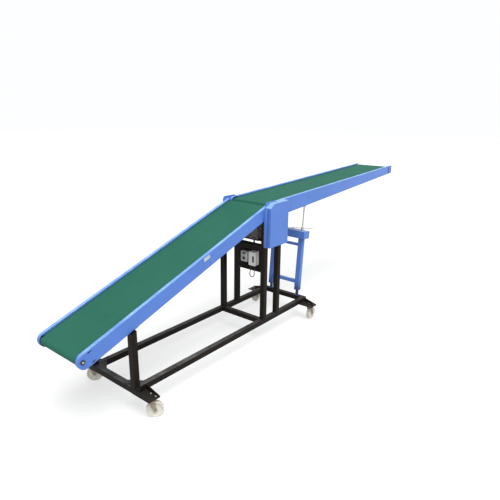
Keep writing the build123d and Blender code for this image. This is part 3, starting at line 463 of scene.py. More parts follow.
# Castors. Pressed zinc-plated forks swivel under the trays, each with a solid wheel of cream
# nylon, 160 by 48 mm, turned with a hub and a thin web, on an axle bolt with a lock nut.
FORK_FACE, AXLE_RADIUS = 33.0, 6.0
NUT_ACROSS, NUT_HEIGHT, NUT_WASHER = 17.0, 3.4, 0.8
WHEEL_SECTION = [
    # radius, half breadth
    (AXLE_RADIUS, 23.0), (17.0, 23.0), (25.0, 23.5), (28.0, 21.0), (29.5, 19.5), (33.0, 17.5),
    (57.0, 16.5), (61.0, 17.5), (63.5, 20.0), (66.0, 23.0), (69.0, 24.0), (73.2, 24.0),
    (76.4, 22.0), (78.6, 19.2), (80.0, 15.5), (80.0, 8.0),
]
TO_MM = FROM_MM.inverted()


def turned(bm, place, section, steps=32):
    # Lathe work: a section of radius and height, spun full circle about the place's z.
    chain = [bm.verts.new(place @ Vector((radius, 0, height))) for radius, height in section]
    lines = [bm.edges.new(pair) for pair in zip(chain, chain[1:])]
    bmesh.ops.spin(bm, geom=chain + lines, cent=place.translation, axis=place.to_3x3().col[2],
                   angle=math.tau, steps=steps, use_merge=True)


nylon = wear_dust_sheen(
    finish("nylon", (0.55, 0.51, 0.43), (0.69, 0.665, 0.61), roughness=0.42, patch=14.0,
           grain=420.0, dent=0.1),
    worn=(0.42, 0.37, 0.29), highlight_and_dust=(0.4, 0.36, 0.29), worn_share=0.6, amount=0.2)
wheel_outline = WHEEL_SECTION + [(radius, -half) for radius, half in reversed(WHEEL_SECTION)]
joints = {joint["name"]: joint for joint in frame["joints"]}
coat(zinc_steel, "castor_plates")
for label, *_ in CASTORS:
    coat(zinc_steel, "castor_fork_" + label)
    roll = joints["roll_" + label]
    across = Vector(roll["axis"]).to_track_quat("Z", "X").to_matrix().to_4x4()
    hub = Matrix.Translation(TO_MM @ Vector(roll["pos_m"])) @ across
    bm = bmesh.new()
    turned(bm, hub, wheel_outline, steps=56)
    piece("wheel_" + label, bm, nylon, "wheel_" + label, "nylon", "castor_wheel_" + label)
    bm = bmesh.new()
    for turn in (0, math.pi):
        at = hub @ Matrix.Rotation(turn, 4, "X") @ Matrix.Translation((0, 0, FORK_FACE))
        hexagon(bm, at, NUT_ACROSS, NUT_HEIGHT, NUT_WASHER)
    piece("axle_nuts_" + label, bm, zinc_steel, "castor_" + label, "zinc_steel")

# Side channels. Folded steel sheet with a lip along the top and the bottom, sprayed in a smooth
# bright blue. The lips' edges are rubbed pale where cartons and hands drag over them, and every
# upward face, the lips' tops most, carries a pale sky blue that is a painted highlight with a
# little dust.
BLUE_TONES, BLUE_WORN = ((0.088, 0.2, 0.575), (0.106, 0.226, 0.645)), (0.5, 0.6, 0.82)
INCLINE_ANGLE, BOOM_ANGLE = math.radians(19.21), math.radians(2.71)
TAIL, PIVOT = (-461.0, 0.0, 724.657), (2135.0, 0.0, 1633.434)
ON_INCLINE = Matrix.Translation(TAIL) @ Matrix.Rotation(-INCLINE_ANGLE, 4, "Y")
ON_BOOM = Matrix.Translation(PIVOT) @ Matrix.Rotation(-BOOM_ANGLE, 4, "Y")
RETURN_DEPTH, RETURN_THICK, SHEET_ROUND = 16.6, 2.5, 0.8
LIP_RETURNS = [
    # name, body, frame, start and end along it, y of the lip's edge, top of the lip
    ("incline_lip_returns", "chassis", ON_INCLINE, (4.0, 2640.0), 284.0, 69.5),
    ("boom_lip_returns", "boom", ON_BOOM, (60.0, 3380.0), 278.0, 55.5),
]
# Pale sky blue on upward faces: a painted highlight, with a little dust.
blue_paint = wear_dust_sheen(
    finish("blue_paint", *BLUE_TONES, roughness=0.36, patch=2.2, grain=260.0, dent=0.08,
           specular=0.22),
    worn=BLUE_WORN, highlight_and_dust=(0.38, 0.67, 0.94), worn_share=0.4, amount=0.7, round_off=0.007,
    reach=0.006, scuff=(0.04, 0.085, 0.28))
coat(blue_paint, "incline_side_near", "incline_side_far", "boom_side_near", "boom_side_far",
     "boom_tip_brackets", "post_cleats")


def soft_box(bm, low, high, edge, steps=3, place=Matrix()):
    # Block with its edges rounded.
    size = [b - a for a, b in zip(low, high)]
    middle = Matrix.Translation([(a + b) / 2 for a, b in zip(low, high)])
    made = bmesh.ops.create_cube(bm, size=1, matrix=place @ middle @ Matrix.Diagonal((*size, 1)))
    rounded(bm, edges_of(made), edge, steps)


def strips(bm, place, ends, sides, heights, edge):
    # One long strip on each side, between two distances from the middle.
    for side in (-1, 1):
        near, far = sorted(side * y for y in sides)
        soft_box(bm, (ends[0], near, heights[0]), (ends[1], far, heights[1]), edge,
                 steps=2, place=place)


# The edge of each top lip is turned down towards the belt.
for name, body, place, ends, lip, top in LIP_RETURNS:
    bm = bmesh.new()
    strips(bm, place, ends, (lip, lip + RETURN_THICK), (top - RETURN_DEPTH, top), SHEET_ROUND)
    piece(name, bm, blue_paint, body, "blue_paint")

# The tip brackets slide in the channels to tighten the belt. A black strip proud of each channel
# before them is painted shadow for the gap there.
TIP_GAP, TIP_SIDES, TIP_HEIGHTS = (3375.0, 3386.5), (316.0, 317.6), (-62.0, 50.0)
bm = bmesh.new()
strips(bm, ON_BOOM, TIP_GAP, TIP_SIDES, TIP_HEIGHTS, edge=0.5)
piece("tip_gap_shadow_strips", bm, black_paint, "boom", "black_paint")

# Belt bed. Galvanised sheet under the top strand, on flat cross ties between the channels, with
# steel rollers under the return strand and a drum at each end.
bed_steel = wear_dust_sheen(
    finish("bed_steel", (0.3, 0.31, 0.315), (0.47, 0.48, 0.485), roughness=0.4, metal=0.7,
           patch=28.0, grain=350.0),
    worn=(0.2, 0.19, 0.18), highlight_and_dust=(0.26, 0.25, 0.23), amount=0.3)
coat(bed_steel, "incline_bed", "boom_bed", "incline_ties", "boom_ties")
coat(zinc_steel, "incline_return_rollers", "boom_return_rollers", "incline_tail_drum",
     "incline_head_drum", "boom_pivot_drum", "boom_tip_drum")

# Belts. Two endless belts of green PVC on woven cloth, with a fine dull grain on top. Goods have
# drawn faint tracks along them, and the boom's has a slanting glued splice.
BELT_TONES, BELT_TRACK = ((0.021, 0.117, 0.078), (0.027, 0.133, 0.092)), (0.033, 0.146, 0.108)
BELT_SKIN = {"roughness": 0.68, "patch": 1.7, "grain": 520.0, "dent": 0.25, "specular": 0.05}
BELT_DUST, DUST_SHARE, DUST_DRIFT = (0.16, 0.2, 0.165), 0.03, 2.5
TRACK_DRAWN, TRACK_SCALE, TRACK_SHARE = (0.5, 16.0, 1.0), 1.6, 0.25
WEAVE_SCALE, WEAVE_STRENGTH, WEAVE_DEPTH = 130.0, 0.15, 0.0004
SPLICE_S, SPLICE_SLANT, SPLICE_HALF, SPLICE_SHARE = 2.245, -1.603, 0.004, 0.45
SPLICE_TONE = (0.02, 0.09, 0.065)


def belt_cloth(name, angle, start):
    # Belt finish with its pattern laid out along the strand, in metres.
    material, tree, shader, colour, bump = finish(name, *BELT_TONES, **BELT_SKIN)
    begin = tuple(FROM_MM @ Vector(start))
    laid = add(tree, "Mapping", Vector=on_surface(tree), vector_type="TEXTURE", Location=begin,
               Rotation=(0, -angle, 0)).outputs[0]
    drawn = add(tree, "VectorMath", laid, TRACK_DRAWN, operation="MULTIPLY").outputs[0]
    tracks = spread(tree, noise(tree, drawn, TRACK_SCALE, 4.0), 0, TRACK_SHARE, 0.45, 0.75)
    threads = [add(tree, "TexWave", Vector=laid, bands_direction=axis, Scale=WEAVE_SCALE)
               for axis in ("X", "Y")]
    weave = times(tree, *(thread.outputs["Fac"] for thread in threads))
    woven = add(tree, "Bump", Height=weave, Strength=WEAVE_STRENGTH, Distance=WEAVE_DEPTH)
    tree.links.new(woven.outputs[0], bump.inputs["Normal"])
    return material, tree, shader, tones(tree, tracks, colour, BELT_TRACK), laid


def lay_dust(tree, shader, colour):
    lying = use(tree, upward_sheen_and_dust, Amount=DUST_SHARE, Drift=DUST_DRIFT)["DustSheen"]
    tree.links.new(tones(tree, lying, colour, BELT_DUST), shader["Base Color"])


incline_cloth, tree, shader, colour, _ = belt_cloth("incline_belt_cloth", INCLINE_ANGLE, TAIL)
lay_dust(tree, shader, colour)
coat(incline_cloth, "incline_belt")

boom_cloth, tree, shader, colour, laid = belt_cloth("boom_belt_cloth", BOOM_ANGLE, PIVOT)
along, across, _ = add(tree, "SeparateXYZ", laid).outputs
slant = times(tree, across, -SPLICE_SLANT)
from_splice = add(tree, "Math", along, slant, operation="ADD").outputs[0]
gap = add(tree, "Math", from_splice, SPLICE_S, SPLICE_HALF, operation="COMPARE").outputs[0]
colour = tones(tree, spread(tree, gap, 0, SPLICE_SHARE), colour, SPLICE_TONE)
lay_dust(tree, shader, colour)
coat(boom_cloth, "boom_belt")

# A strip of belt green lies along each edge of the bed, so that nothing slips in there. Its tones
# are a little darker than the belt's, as painted shade under the lips.
SHADED_STRIP_TONES = (0.019, 0.104, 0.07), (0.024, 0.118, 0.082)
STRIP_EDGE, STRIP_THICK = 271.2, 3.0
EDGE_STRIPS = [
    # name, body, frame, start and end along it, y of the channel's web, top of the strip
    ("incline_edge_strips", "chassis", ON_INCLINE, (30.0, 2640.0), 317.5, 52.6),
    ("boom_edge_strips", "boom", ON_BOOM, (86.0, 3380.0), 311.5, 38.6),
]
# Darker than the belt: painted shade under the lips.
shaded_strip_cloth = finish("shaded_strip_cloth", *SHADED_STRIP_TONES, **BELT_SKIN)[0]
for name, body, place, ends, web, top in EDGE_STRIPS:
    bm = bmesh.new()
    strips(bm, place, ends, (STRIP_EDGE, web), (top - STRIP_THICK, top), SHEET_ROUND)
    piece(name, bm, shaded_strip_cloth, body, "green_belt")

# Tail end. The axle of the tail drum shows bright in a dark bearing ring on each channel, and two
# clamp bolts in slots behind it let the drum be pulled back to tighten the belt. Each slot is a
# flat black patch raised on the channel, painted shade for the open slot.
AXLE_N, CHANNEL_OUT = 11.0, 322.0
OUTWARD = {side: Matrix.Rotation(math.radians(-90 * side), 4, "X") for side in (-1, 1)}
SLOT_S, SLOT_HEIGHTS, SLOT_LENGTH, SLOT_BREADTH, SLOT_RISE = 88.0, (53.0, -51.0), 42.0, 8.5, 0.8
CLAMP_BACK, CLAMP_ACROSS, CLAMP_HEIGHT, CLAMP_WASHER = -9.0, 8.0, 4.0, 1.0
BEARING_RING = [
    # radius, height off the channel
    (15.4, 0), (21.0, 0), (22.0, 1.0), (22.0, 5.6), (20.4, 7.6), (11.0, 7.6), (9.6, 6.8),
    (9.6, 6.1), (15.4, 6.1), (15.4, 0),
]
AXLE_END = [(9.5, 6.0), (9.5, 8.6), (8.4, 9.6), (2.6, 9.6), (1.3, 8.4), (0, 8.0)]
cast_iron = wear_dust_sheen(
    finish("cast_iron", (0.05, 0.05, 0.052), (0.085, 0.085, 0.088), roughness=0.6, patch=30.0,
           grain=240.0, dent=0.5),
    worn=(0.2, 0.2, 0.2), highlight_and_dust=(0.2, 0.19, 0.17), amount=0.3)
coat(cast_iron, "incline_bearings", "pivot_bearings")
blackened = finish("blackened_steel", (0.018, 0.018, 0.021), (0.036, 0.036, 0.04), roughness=0.4,
                   metal=0.5, patch=60.0)[0]
slot_shades, clamps, rings, axle_ends = (bmesh.new() for _ in range(4))
half_run = (SLOT_LENGTH - SLOT_BREADTH) / 2
for side in (-1, 1):
    for n in SLOT_HEIGHTS:
        place = Matrix.Translation((SLOT_S, side * CHANNEL_OUT, n))
        at = ON_INCLINE @ place @ OUTWARD[side]
        made = bmesh.ops.create_circle(slot_shades, cap_ends=True, segments=20,
                                       radius=SLOT_BREADTH / 2, matrix=at)
        home = at.inverted()
        for vert in made["verts"]:
            local = home @ vert.co
            local.x += math.copysign(half_run, local.x)
            vert.co = at @ Vector((local.x, local.y, 0.0))
        thicken(slot_shades, list(made["verts"][0].link_faces),
                at.to_3x3() @ Vector((0, 0, SLOT_RISE)))
        hexagon(clamps, at @ Matrix.Translation((CLAMP_BACK, 0, SLOT_RISE)), CLAMP_ACROSS,
                CLAMP_HEIGHT, CLAMP_WASHER)
    place = Matrix.Translation((0, side * CHANNEL_OUT, AXLE_N))
    axle = ON_INCLINE @ place @ OUTWARD[side]
    turned(rings, axle, BEARING_RING)
    turned(axle_ends, axle, AXLE_END)
# The black slot patches are painted shade for the open slots.
piece("takeup_slot_shades", slot_shades, black_plastic, "chassis", "black_plastic")
piece("takeup_bolts", clamps, blackened, "chassis", "zinc_steel")
piece("tail_bearing_rings", rings, black_plastic, "chassis", "black_plastic")
piece("tail_axle_ends", axle_ends, zinc_bright, "chassis", "zinc_steel")

# Rating plate. A blank white plate of painted aluminium, held to the near channel by a rivet in
# each corner.
PLATE_S, PLATE_N, PLATE_LENGTH, PLATE_HEIGHT, PLATE_THICK = 1559.0, 36.0, 92.0, 40.0, 1.0
PLATE_CORNER, RIVET_IN = 5.0, 6.0
RIVET = [(3.2, 0), (3.0, 0.8), (2.0, 1.5), (0, 1.8)]
plate_paint = wear_dust_sheen(
    finish("plate_paint", (0.42, 0.46, 0.52), (0.55, 0.585, 0.63), roughness=0.4, patch=30.0),
    worn=(0.35, 0.36, 0.38), highlight_and_dust=(0.5, 0.5, 0.48), amount=0.1, round_off=0.001)
plate_at = ON_INCLINE @ Matrix.Translation((PLATE_S, -CHANNEL_OUT, PLATE_N)) @ OUTWARD[-1]
bm = bmesh.new()
bmesh.ops.create_cube(bm, size=1, matrix=plate_at @ Matrix.Translation((0, 0, PLATE_THICK / 2))
                      @ Matrix.Diagonal((PLATE_LENGTH, PLATE_HEIGHT, PLATE_THICK, 1)))
upright = [edge for edge in bm.edges if edge.calc_length() < 2 * PLATE_THICK]
rounded(bm, upright, PLATE_CORNER, steps=4)
piece("blank_plate", bm, plate_paint, "chassis", "box_plastic")
bm = bmesh.new()
for dx in (RIVET_IN - PLATE_LENGTH / 2, PLATE_LENGTH / 2 - RIVET_IN):
    for dy in (RIVET_IN - PLATE_HEIGHT / 2, PLATE_HEIGHT / 2 - RIVET_IN):
        turned(bm, plate_at @ Matrix.Translation((dx, dy, PLATE_THICK)), RIVET, steps=12)
piece("plate_rivets", bm, zinc_bright, "chassis", "zinc_steel")

# Knee. Blue plates carry the boom's pivot in a square flange bearing each side, held by four
# bolts, and are bolted to the rear posts' cross tubes.
PIVOT_BOLT, BEARING_OUT, PIVOT_BOLT_HEIGHT = 24.0, 346.0, 6.0
coat(blue_paint, "knee_plates")
bm = bmesh.new()
for side in (-1, 1):
    for dx in (-PIVOT_BOLT, PIVOT_BOLT):
        for dz in (-PIVOT_BOLT, PIVOT_BOLT):
            place = Matrix.Translation((PIVOT[0] + dx, side * BEARING_OUT, PIVOT[2] + dz))
            hexagon(bm, place @ OUTWARD[side], BOLT_ACROSS, PIVOT_BOLT_HEIGHT)
piece("pivot_bearing_bolts", bm, zinc_bright, "chassis", "zinc_steel")

# Chain cover. A folded sheet box over the drive chain on the near side, blue like the channels,
# screwed to the knee plate through its rim with pan-head screws that are painted over.
COVER_OUT = 411.0
COVER_SCREWS = [
    # x, z
    (2000.0, 1206.0), (2144.0, 1206.0), (2290.0, 1206.0), (2296.0, 1420.0), (2000.0, 1420.0),
    (2290.0, 1640.0),
]
PAN_HEAD = [(6.5, 0), (6.5, 0.6), (5.0, 0.8), (4.8, 2.2), (3.6, 3.2), (1.2, 3.5), (1.0, 2.4),
            (0, 2.4)]
FLANGE_LOW, FLANGE_HIGH = (1941.0, -374.0, 1180.0), (1943.8, -333.0, 1638.0)
coat(blue_paint, "drive_cover")
bm = bmesh.new()
for x, z in COVER_SCREWS:
    turned(bm, Matrix.Translation((x, -COVER_OUT, z)) @ OUTWARD[-1], PAN_HEAD, steps=16)
piece("cover_screws", bm, blue_paint, "chassis", "blue_paint")
bm = bmesh.new()
soft_box(bm, FLANGE_LOW, FLANGE_HIGH, edge=1.0)
piece("cover_front_flange", bm, blue_paint, "chassis", "blue_paint")

# Drive. A foot-mounted geared motor under the knee: cast gearbox, ribbed motor body, pressed fan
# cover with rings in its end, and a terminal box, all in a brownish grey enamel.
MOTOR_X, MOTOR_AXIS, MOTOR_FOOT, FOOT_THICK, GEAR_TOP = 2109.0, 1314.0, 1224.0, 18.0, 1394.0
GEAR_Y, FOOT_HALF, GEAR_HALF, GEAR_IN, GEAR_RISE = (-165.0, -45.0), 75.0, 66.0, 6.0, 10.0
FOOT_BOLT_X, FOOT_BOLT_IN, FOOT_BOLT_HEIGHT = 62.0, 16.0, 7.0
RIB_COUNT, RIB_TIP, RIB_THICK, RIB_LENGTH, RIB_MID, RIB_SUNK = 28, 74.0, 3.4, 164.0, 52.0, 2.0
BODY_RADIUS = 65.0
GEAR_RING = [
    # radius, y
    (17, -158), (40, -158), (52, -162), (54, -165), (60, -165), (62, -162), (62, -150),
    (17, -150), (17, -158),
]
MOTOR_FLANGE = [(0, -52), (72, -52), (75, -49), (75, -36), (72, -33), (0, -33)]
MOTOR_BODY = [(0, -34), (BODY_RADIUS, -34), (BODY_RADIUS, 138), (0, 138)]
FAN_COVER = [
    (0, 134), (73, 134), (75, 136), (75, 172), (71, 181), (63, 185), (56, 185), (55, 181),
    (50, 181), (49, 185), (42, 185), (41, 181), (36, 181), (35, 185), (28, 185), (27, 181),
    (22, 181), (21, 185), (0, 185),
]
SHAFT = [(0, -150), (15, -150), (15, -358), (13.6, -360), (4, -360), (2, -357.5), (0, -357)]
TERMINAL_Y, TERMINAL_HALF, TERMINAL_RISE = (17.0, 103.0), 38.0, (50.0, 88.0)
LID_OVER, LID_RISE = 2.0, (89.0, 100.0)
LID_SCREW_X, LID_SCREW_Y, LID_SCREW_RISE = 31.0, (24.0, 96.0), 99.5
LID_SCREW_ACROSS, LID_SCREW_HEIGHT, LID_SCREW_WASHER = 7.0, 3.0, 0.8
motor_paint = wear_dust_sheen(
    finish("motor_paint", (0.095, 0.08, 0.07), (0.14, 0.12, 0.105), roughness=0.45, patch=12.0,
           grain=300.0, dent=0.35),
    worn=(0.22, 0.2, 0.18), highlight_and_dust=(0.22, 0.2, 0.17), amount=0.35)
ON_MOTOR = Matrix.Translation((MOTOR_X, 0, MOTOR_AXIS)) @ OUTWARD[1]


def motor_box(bm, half, sides, heights, edge, steps=3):
    # Block of the housing, as far to the front of the motor's axis as behind it.
    soft_box(bm, (MOTOR_X - half, sides[0], heights[0]), (MOTOR_X + half, sides[1], heights[1]),
             edge, steps)


bm = bmesh.new()
motor_box(bm, FOOT_HALF, GEAR_Y, (MOTOR_FOOT, MOTOR_FOOT + FOOT_THICK), edge=4)
motor_box(bm, GEAR_HALF, (GEAR_Y[0] + GEAR_IN, GEAR_Y[1] - GEAR_IN),
          (MOTOR_FOOT + GEAR_RISE, GEAR_TOP), edge=16, steps=4)
turned(bm, ON_MOTOR, GEAR_RING, steps=40)
turned(bm, ON_MOTOR, MOTOR_FLANGE, steps=40)
turned(bm, ON_MOTOR, MOTOR_BODY, steps=48)
rib_at = Matrix.Translation(((RIB_TIP + BODY_RADIUS - RIB_SUNK) / 2, 0, RIB_MID))
rib_size = Matrix.Diagonal((RIB_TIP - BODY_RADIUS + RIB_SUNK, RIB_THICK, RIB_LENGTH, 1))
made = bmesh.ops.create_cube(bm, size=1, matrix=ON_MOTOR @ rib_at @ rib_size)
rib = {part for vert in made["verts"] for part in (vert, *vert.link_edges, *vert.link_faces)}
bmesh.ops.spin(bm, geom=list(rib), cent=ON_MOTOR.translation, axis=(0, 1, 0),
               angle=math.tau * (RIB_COUNT - 1) / RIB_COUNT, steps=RIB_COUNT - 1,
               use_duplicate=True)
turned(bm, ON_MOTOR, FAN_COVER, steps=48)
motor_box(bm, TERMINAL_HALF, TERMINAL_Y, [MOTOR_AXIS + rise for rise in TERMINAL_RISE], edge=4)
motor_box(bm, TERMINAL_HALF + LID_OVER, (TERMINAL_Y[0] - LID_OVER, TERMINAL_Y[1] + LID_OVER),
          [MOTOR_AXIS + rise for rise in LID_RISE], edge=5)
piece("geared_motor_body", bm, motor_paint, "chassis", "motor_paint", "geared_motor")
bm = bmesh.new()
turned(bm, ON_MOTOR, SHAFT, steps=28)
for dx in (-FOOT_BOLT_X, FOOT_BOLT_X):
    for y in (GEAR_Y[0] + FOOT_BOLT_IN, GEAR_Y[1] - FOOT_BOLT_IN):
        at = Matrix.Translation((MOTOR_X + dx, y, MOTOR_FOOT + FOOT_THICK))
        hexagon(bm, at, BOLT_ACROSS, FOOT_BOLT_HEIGHT)
for dx in (-LID_SCREW_X, LID_SCREW_X):
    for y in LID_SCREW_Y:
        at = Matrix.Translation((MOTOR_X + dx, y, MOTOR_AXIS + LID_SCREW_RISE))
        hexagon(bm, at, LID_SCREW_ACROSS, LID_SCREW_HEIGHT, LID_SCREW_WASHER)
piece("motor_shaft_and_bolts", bm, zinc_bright, "chassis", "zinc_steel")

# Starter box. A moulded off-white box on the panel, in two halves with a dark gasket between, a
# dark upright window with two push buttons, and a screw in each corner of the lid.
STARTER_X, STARTER_Y, STARTER_Z = (2125.0, 2215.0), (-64.0, 40.0), (841.0, 1025.0)
LID_BACK, SHELL_BACK, SHELL_IN = 2168.0, 2171.0, 2.0
GASKET_X, GASKET_IN = (2164.0, 2174.0), 4.0
WINDOW_LOW, WINDOW_HIGH = (2122.6, -50.0, 888.0), (2126.0, -22.0, 968.0)
BUTTON_Y, BUTTON_Z, SCREW_IN = -36.0, (948.0, 908.0), 13.0
BUTTON = [(9, -1), (9, 3), (7.6, 4.4), (0, 5.0)]
LID_SCREW = [(4.6, -1), (4.6, 0.6), (3.6, 1.4), (1.0, 1.6), (0.8, 0.6), (0, 0.6)]
FORWARD = Matrix.Rotation(math.radians(-90), 4, "Y")
box_plastic = wear_dust_sheen(
    finish("box_plastic", (0.85, 0.85, 0.81), (0.92, 0.92, 0.89), roughness=0.42, patch=16.0,
           grain=600.0, dent=0.12),
    worn=(0.5, 0.48, 0.42), highlight_and_dust=(0.66, 0.63, 0.57), worn_share=0.35, amount=0.25)
button_grey = finish("button_grey", (0.06, 0.06, 0.06), (0.09, 0.09, 0.09), roughness=0.4,
                     patch=60.0)[0]


def starter_block(bm, front, rear, inset, edge, steps=3):
    # Part of the box between two depths, set in from its outline.
    soft_box(bm, (front, STARTER_Y[0] + inset, STARTER_Z[0] + inset),
             (rear, STARTER_Y[1] - inset, STARTER_Z[1] - inset), edge, steps)


bm = bmesh.new()
starter_block(bm, STARTER_X[0], LID_BACK, inset=0, edge=9, steps=4)
starter_block(bm, SHELL_BACK, STARTER_X[1], SHELL_IN, edge=4)
piece("starter_housing", bm, box_plastic, "chassis", "box_plastic", "starter_box")
bm = bmesh.new()
starter_block(bm, *GASKET_X, GASKET_IN, edge=1.5)
soft_box(bm, WINDOW_LOW, WINDOW_HIGH, edge=1.4)
piece("starter_window", bm, black_plastic, "chassis", "black_plastic")
bm = bmesh.new()
for z in BUTTON_Z:
    turned(bm, Matrix.Translation((WINDOW_LOW[0], BUTTON_Y, z)) @ FORWARD, BUTTON, steps=24)
piece("starter_buttons", bm, button_grey, "chassis", "black_plastic")
bm = bmesh.new()
for y in (STARTER_Y[0] + SCREW_IN, STARTER_Y[1] - SCREW_IN):
    for z in (STARTER_Z[0] + SCREW_IN, STARTER_Z[1] - SCREW_IN):
        turned(bm, Matrix.Translation((STARTER_X[0], y, z)) @ FORWARD, LID_SCREW, steps=14)
piece("starter_screws", bm, zinc_bright, "chassis", "zinc_steel")

# Socket box. A grey moulded box beside the starter with a raised round collar, a dark face in it
# and three contact holes, where the supply lead is plugged in.
SOCKET_LOW, SOCKET_HIGH = (2155.0, 84.0, 861.0), (2215.0, 190.0, 998.0)
SOCKET_MID = (2155.0, 137.0, 908.0)
COLLAR = [(22, -2), (30, -2), (30, 5), (28, 7), (24, 7), (22.5, 5), (22, -2)]
SOCKET_FACE = [(0, -1.5), (23, -1.5), (23, 0.8), (8, 0.8), (6, 1.6), (0, 1.6)]
CONTACT_AT, CONTACT = (14, 0, 0.6), [(5.4, 0), (5.4, 1.2), (4.2, 1.4), (3.6, 0.2), (0, 0.2)]
FLAP_LOW, FLAP_HIGH = (2152.0, 112.0, 962.0), (2156.0, 162.0, 984.0)
grey_plastic = wear_dust_sheen(
    finish("grey_plastic", (0.5, 0.49, 0.51), (0.6, 0.59, 0.61), roughness=0.45, patch=16.0,
           grain=600.0, dent=0.12),
    worn=(0.4, 0.4, 0.38), highlight_and_dust=(0.4, 0.38, 0.33), worn_share=0.4, amount=0.3)
at = Matrix.Translation(SOCKET_MID) @ FORWARD
bm = bmesh.new()
soft_box(bm, SOCKET_LOW, SOCKET_HIGH, edge=8, steps=4)
turned(bm, at, COLLAR, steps=40)
piece("socket_housing", bm, grey_plastic, "chassis", "box_plastic", "socket_box")
bm = bmesh.new()
turned(bm, at, SOCKET_FACE, steps=40)
for turn in (0, 120, 240):
    around = Matrix.Rotation(math.radians(turn), 4, "Z")
    turned(bm, at @ around @ Matrix.Translation(CONTACT_AT), CONTACT, steps=16)
soft_box(bm, FLAP_LOW, FLAP_HIGH, edge=1.2)
piece("socket_face", bm, black_plastic, "chassis", "black_plastic")

# Cable glands. Black nylon under the starter box, each a hexagon against the box and a ribbed
# dome nut screwed over it, which grips the lead.
DOME_NUT = [(5.1, 0), (7.0, 0), (8.6, 2.2), (9.3, 5.5), (9.3, 13), (5.1, 13), (5.1, 0)]
GLAND_RIBS, GLAND_RIB_AT, GLAND_RIB_SIZE = 12, (9.2, 0, 9.0), (1.2, 1.4, 7.0)
GLAND_HEX_RISE, GLAND_ACROSS, GLAND_HEX_HEIGHT = 13.0, 17.3, 9.0
bm = bmesh.new()
for y in (LEAD_ROUTE[0][0], LEAD_ROUTE[-1][0]):
    at = Matrix.Translation((LEAD_X, y, LEAD_END))
    turned(bm, at, DOME_NUT, steps=28)
    for count in range(GLAND_RIBS):
        around = Matrix.Rotation(math.tau * count / GLAND_RIBS, 4, "Z")
        rib = at @ around @ Matrix.Translation(GLAND_RIB_AT)
        bmesh.ops.create_cube(bm, size=1, matrix=rib @ Matrix.Diagonal((*GLAND_RIB_SIZE, 1)))
    hexagon(bm, at @ Matrix.Translation((0, 0, GLAND_HEX_RISE)), GLAND_ACROSS, GLAND_HEX_HEIGHT,
            washer=0)
piece("gland_nuts", bm, black_plastic, "chassis", "black_plastic", "cable_glands")

# Jack. Two trapezoid-threaded screws lift the boom on a pin through a slotted eye. Each turns in
# a steel nut on the blue top beam, with a cross bar through it to wind it by hand. The legs and
# feet are painted darker towards the floor, as painted shade.
JACK_FOOT, JACK_LEAN = (2895.0, 0, 263.0), math.radians(4.283836)
ON_JACK = Matrix.Translation(JACK_FOOT) @ Matrix.Rotation(JACK_LEAN, 4, "Y")
SCREW_Y, SCREW_LOW, SCREW_LENGTH, SCREW_RADIUS, CORE_RADIUS = 220.0, 599.8, 640.0, 10.0, 8.7
THREAD_PITCH, THREAD_STEPS, THREAD_SHORT, THREAD_ROOT = 7.0, 14, 10.0, CORE_RADIUS - 0.3
TOOTH = [(THREAD_ROOT, 4.0), (SCREW_RADIUS, 5.2), (SCREW_RADIUS, 7.0), (THREAD_ROOT, 8.2)]
CORE = [(0, 0), (CORE_RADIUS - 1.5, 0), (CORE_RADIUS, 2), (CORE_RADIUS, SCREW_LENGTH),
        (0, SCREW_LENGTH)]
EYE_AT, EYE_SHIFT, EYE_DROP, EYE_ROUND, EYE_THICK = 1271.798, -11.0, 8.0, 12.0, 18.0
EYE_BLOCK, EYE_SLOT = (68.0, 56.0), (45.0, 23.0)
NUT_AT, BAR_RISE, BAR_TURN = 914.798, 37.0, math.radians(-53)
WINDING_NUT = [(10.6, 0), (18.5, 0), (20, 1.5), (20, 20), (18, 22), (18, 25), (20, 27), (20, 50),
               (18.4, 52), (10.6, 52), (10.6, 0)]
CROSS_BAR = [(0, 12), (6.9, 12), (6.9, 128), (7.5, 130), (7.5, 151), (5.0, 154), (0, 155)]
FOOT_SHADE_REACH, FOOT_SHADE_AMOUNT, FOOT_SHADE_SCALE, FOOT_SHADE_UNEVEN = 0.5, 0.88, 26.0, 0.12
FOOT_SHADE_TONE = (0.014, 0.014, 0.05)

# Painted shade on the jack's legs and feet, darkest near the floor.
foot_shade, given, out = effect(
    "painted_foot_shade", [("Reach", 0.5), ("Amount", 0.6)], ("Shade", "Float"))
where = on_surface(foot_shade)
height = add(foot_shade, "SeparateXYZ", where).outputs["Z"]
rise = add(foot_shade, "Math", height, given["Reach"], operation="DIVIDE").outputs[0]
shade_breakup = noise(foot_shade, where, FOOT_SHADE_SCALE, 6.0, 0.7)
ragged = spread(foot_shade, shade_breakup, -FOOT_SHADE_UNEVEN, FOOT_SHADE_UNEVEN, 0.3, 0.7)
rise = add(foot_shade, "Math", rise, ragged, operation="ADD").outputs[0]
shade_depth = spread(foot_shade, rise, 1, 0, 0.62, 1.0)
foot_shade.links.new(times(foot_shade, shade_depth, given["Amount"]), out["Shade"])

# The jack's blue, with painted shade that darkens it towards the floor.
material, tree, shader, colour, bump = finish(
    "jack_blue_foot_shade", *BLUE_TONES, roughness=0.4, patch=2.2, grain=260.0, dent=0.1, specular=0.2)
foot_shade_mask = use(tree, foot_shade, Reach=FOOT_SHADE_REACH, Amount=FOOT_SHADE_AMOUNT)["Shade"]
colour = tones(tree, foot_shade_mask, colour, FOOT_SHADE_TONE)
jack_blue_foot_shade = wear_dust_sheen(
    (material, tree, shader, colour, bump), worn=BLUE_WORN, highlight_and_dust=(0.2, 0.24, 0.4),
    worn_share=0.3, amount=0.2, round_off=0.005)
coat(jack_blue_foot_shade, "jack_feet", "jack_legs")
coat(blue_paint, "jack_ties", "jack_top_beam", "boom_jack_beam", "boom_jack_lugs")


